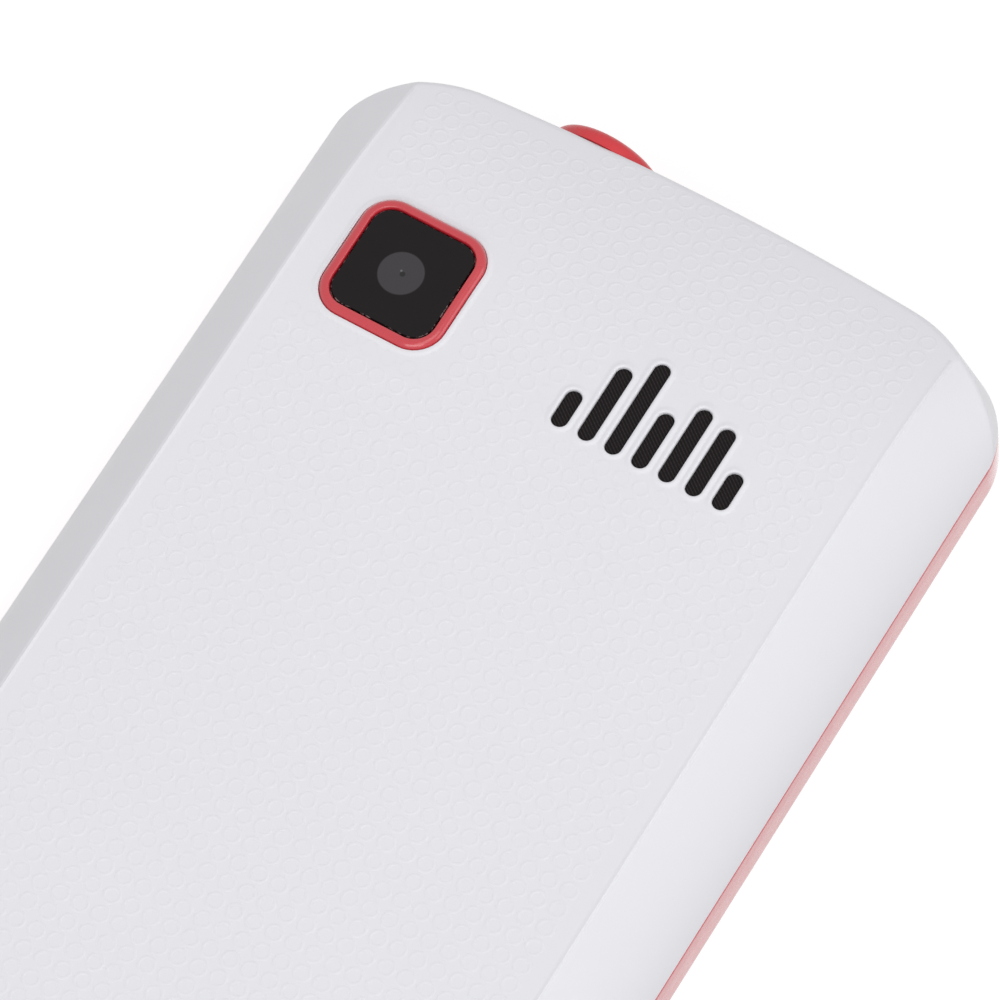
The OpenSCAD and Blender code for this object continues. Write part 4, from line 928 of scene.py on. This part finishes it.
# %% [markdown]
# ## Finishes of the CAD pieces
# The pieces inside are seen when the cover is lifted, and the front when the phone is turned. Their
# CAD shapes are right, so they stay and only get finishes: spark-textured black plastic, brushed
# sheet steel, gold contacts, a green board with traces, a wrapped battery and white keys.

# %% Inner finishes
chassis_black = Finish("chassis_black", specular_ior_level=0.35)
grain = chassis_black.noise(5.0, 4.0)
chassis_black.set(base_color=grain.mix((0.020, 0.020, 0.022), (0.036, 0.036, 0.039)))
chassis_black.set(roughness=grain * 0.2 + 0.45)
chassis_black.bump(grain, 0.02)

sheet_steel = Finish("sheet_steel", metallic=1.0)
stretch = {0: sheet_steel.place, 1: (0.4, 9.0, 9.0)}
drawn_out = sheet_steel.wire.node("VectorMath", {"operation": "MULTIPLY"}, stretch)
brush = sheet_steel.wire.node("TexNoise", None, {"Vector": drawn_out, "Scale": 1.0, "Detail": 3.0})
sheet_steel.set(base_color=brush.mix((0.50, 0.50, 0.51), (0.66, 0.66, 0.67)))
sheet_steel.set(roughness=brush * 0.25 + 0.22)
sheet_steel.bump(brush, 0.006)

contact_gold = Finish("contact_gold", metallic=1.0)
stain = contact_gold.noise(1.5)
contact_gold.set(base_color=stain.mix((0.72, 0.47, 0.16), (0.86, 0.62, 0.26)))
contact_gold.set(roughness=stain * 0.2 + 0.2)

board_green = Finish("board_green", specular_ior_level=0.5)
straight_tracks, slanted_tracks = board_green.wave((1, 0, 0), 0.7), board_green.wave((0.7, 0.7, 0), 0.45)
track = board_green.wire.math("MAXIMUM", straight_tracks, slanted_tracks).ramp(0.86, 0.94)
board_green.set(base_color=track.mix((0.012, 0.085, 0.036), (0.030, 0.160, 0.070)))
board_green.set(roughness=track * 0.1 + 0.3)
board_green.bump(track, 0.03)

battery_grey = Finish("battery_wrap", specular_ior_level=0.4)
wrap = battery_grey.noise(0.3)
battery_grey.set(base_color=wrap.mix((0.42, 0.43, 0.45), (0.48, 0.49, 0.51)))
battery_grey.set(roughness=battery_grey.noise(2.0) * 0.2 + 0.3)
battery_grey.bump(battery_grey.noise(0.8), 0.02)

mat_grey = Finish("mat_grey", roughness=0.7, specular_ior_level=0.2)
mat_grey.set(base_color=mat_grey.noise(3.0).mix((0.060, 0.060, 0.064), (0.090, 0.090, 0.095)))
mat_grey.bump(mat_grey.noise(6.0), 0.01)

key_white = Finish("key_white", specular_ior_level=0.45)
key_white.set(base_color=key_white.noise(0.1).mix((0.700, 0.700, 0.718), (0.736, 0.736, 0.752)))
key_white.set(roughness=key_white.noise(1.0) * 0.08 + 0.3)
key_white.bump(key_white.noise(8.0), 0.003)

display_grey = Finish("display_grey", metallic=0.6, roughness=0.35)
display_grey.set(base_color=display_grey.noise(0.5).mix((0.30, 0.31, 0.33), (0.38, 0.39, 0.41)))

window_black = Finish("window_black", specular_ior_level=0.4, roughness=0.05)
view_y, view_half_w, view_half_l, view_edge = 25.4, 18.4, 24.5, 0.1
across = window_black.wire.math("ABSOLUTE", window_black.x)
across = across.ramp(view_half_w - view_edge, view_half_w + view_edge)
along = window_black.wire.math("ABSOLUTE", window_black.y - view_y)
along = along.ramp(view_half_l - view_edge, view_half_l + view_edge)
border = window_black.wire.math("MAXIMUM", across, along)
window_black.set(base_color=border.mix((0.020, 0.024, 0.028), (0.005, 0.005, 0.006)))

torch_clear = Finish("torch_clear", roughness=0.05, ior=1.49, transmission_weight=1.0)
rings_of_lens = torch_clear.from_line(torch_x, z=z_torch)
facet_turn = 14.0
facet = rings_of_lens.math("SINE", rings_of_lens * facet_turn) * 0.5 + 0.5
torch_clear.set(base_color=facet.mix((0.92, 0.93, 0.94), (0.98, 0.98, 0.99)))
torch_clear.bump(facet, 0.05)

lamp_yellow = Finish("lamp_yellow", roughness=0.4, specular_ior_level=0.5)
lamp_yellow.set(base_color=lamp_yellow.noise(2.0).mix((0.80, 0.68, 0.25), (0.90, 0.80, 0.40)))

front_white = Finish("front_white", specular_ior_level=0.5)
front_white.set(base_color=front_white.noise(0.06).mix((0.790, 0.788, 0.826), (0.818, 0.816, 0.850)))
front_white.set(roughness=front_white.noise(0.7).ramp(0.2, 0.8) * 0.06 + 0.22)
front_white.bump(front_white.noise(7.0, 3.0), 0.002)
finishes = {
    "cover_white": cover_white, "front_white": front_white, "frame_red": frame_red,
    "window_black": window_black, "lens_black": lens_grey, "torch_clear": torch_clear,
    "lamp_yellow": lamp_yellow, "mesh_black": mesh_black, "chassis_black": chassis_black,
    "key_white": key_white, "mat_grey": mat_grey, "board_green": board_green,
    "sheet_steel": sheet_steel, "contact_gold": contact_gold, "battery_grey": battery_grey,
    "display_grey": display_grey,
}
for row in frame["record"]["subparts"]:
    node = frame["nodes"][row["node"]]
    node.data.materials.clear()
    node.data.materials.append(finishes[row["material_slot"]].material)

# %% [markdown]
# ## Marks on the keys
# The keys look down in this frame, because the phone lies on its front. Their numbers are printed, so
# each is a text object made a mesh a few hundredths thick, turned over, and set on the face of its key,
# and it rides on that key. The other keys have plain marks: a green bar to call, a red one to hang up,
# a grey dash on the soft keys, and an arrowhead on each side of the navigation ring.

# %% Key marks
mark_t, mark_edge = 0.04, 0.03
digit_size, star_size, hash_size = 4.6, 5.6, 4.0
nav_reach, arrow_r, arrow_shrink, bar_round = 6.1, 0.9, 1.5, 0.45


def ink(name, dark, light):
    """Matt printing ink between two colours."""
    paint = Finish(name, specular_ior_level=0.3)
    paint.set(base_color=paint.noise(2.0).mix(dark, light), roughness=paint.noise(4.0) * 0.15 + 0.4)
    return paint


grey_ink = ink("mark_grey", (0.060, 0.060, 0.066), (0.085, 0.085, 0.092))
green_ink = ink("mark_green", (0.020, 0.260, 0.050), (0.030, 0.320, 0.070))
red_ink = ink("mark_red", (0.480, 0.018, 0.026), (0.560, 0.025, 0.034))


def face_of(node):
    """Middle of the outer face of a key, in millimetres."""
    low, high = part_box(node)
    return [(low[0] + high[0]) / 2 / MM, (low[1] + high[1]) / 2 / MM, low[2] / MM]


def printed(node, letter, size):
    """A printed sign on the face of a key."""
    deselect_all()
    bpy.ops.object.text_add()
    piece = bpy.context.object
    piece.data.body = letter
    piece.data.size = size * MM
    piece.data.extrude = mark_t / 2 * MM
    bpy.ops.object.convert(target="MESH")
    piece = bpy.context.object
    piece.name = piece.data.name = "mark_" + node
    bpy.ops.object.origin_set(type="ORIGIN_GEOMETRY", center="BOUNDS")
    piece.rotation_euler = (0, pi, 0)
    piece.location = Vector(face_of(node)) * MM
    bpy.ops.object.transform_apply(location=True, rotation=True, scale=True)
    dress(piece, grey_ink, node, "mat_grey")


def raised(node, part, ring_at, paint, slot):
    """A flat mark with a bevelled edge; ring_at gives its outline for an inset and a height."""
    z = face_of(node)[2]
    levels = ((0.0, z + mark_t / 2), (0.0, z - mark_t / 4), (mark_edge, z - mark_t / 2))
    piece = loft("mark_" + part, [ring_at(inset, level) for inset, level in levels])
    dress(piece, paint, node, slot)


def bar(x, y, w, l):
    """Outlines of a rounded bar."""
    return lambda inset, z: rounded(x, y, w - 2 * inset, l - 2 * inset, bar_round * l - inset, z, 6)


def arrowhead(x, y, toward):
    """Outlines of a triangle that points in a direction."""
    turns = [toward + a for a in (0, 2 * pi / 3, 4 * pi / 3)]

    def ring_at(inset, z):
        r = arrow_r - arrow_shrink * inset
        return [(x + r * cos(a), y + r * sin(a), z) for a in turns]

    return ring_at


for number in range(10):
    printed(f"key_{number}", str(number), digit_size)
printed("key_star", "*", star_size)
printed("key_hash", "#", hash_size)
bars = (
    ("call_key", 5.2, 1.3, green_ink, "board_green"),
    ("end_key", 5.2, 1.3, red_ink, "frame_red"),
    ("left_soft_key", 4.2, 0.6, grey_ink, "mat_grey"),
    ("right_soft_key", 4.2, 0.6, grey_ink, "mat_grey"),
)
for node, w, l, paint, slot in bars:
    x, y, _ = face_of(node)
    raised(node, node, bar(x, y, w, l), paint, slot)
nav_x, nav_y, _ = face_of("nav_ring")
for turn in range(4):
    toward = turn * pi / 2
    x, y = nav_x + nav_reach * cos(toward), nav_y + nav_reach * sin(toward)
    raised("nav_ring", f"nav_{turn}", arrowhead(x, y, toward), grey_ink, "mat_grey")
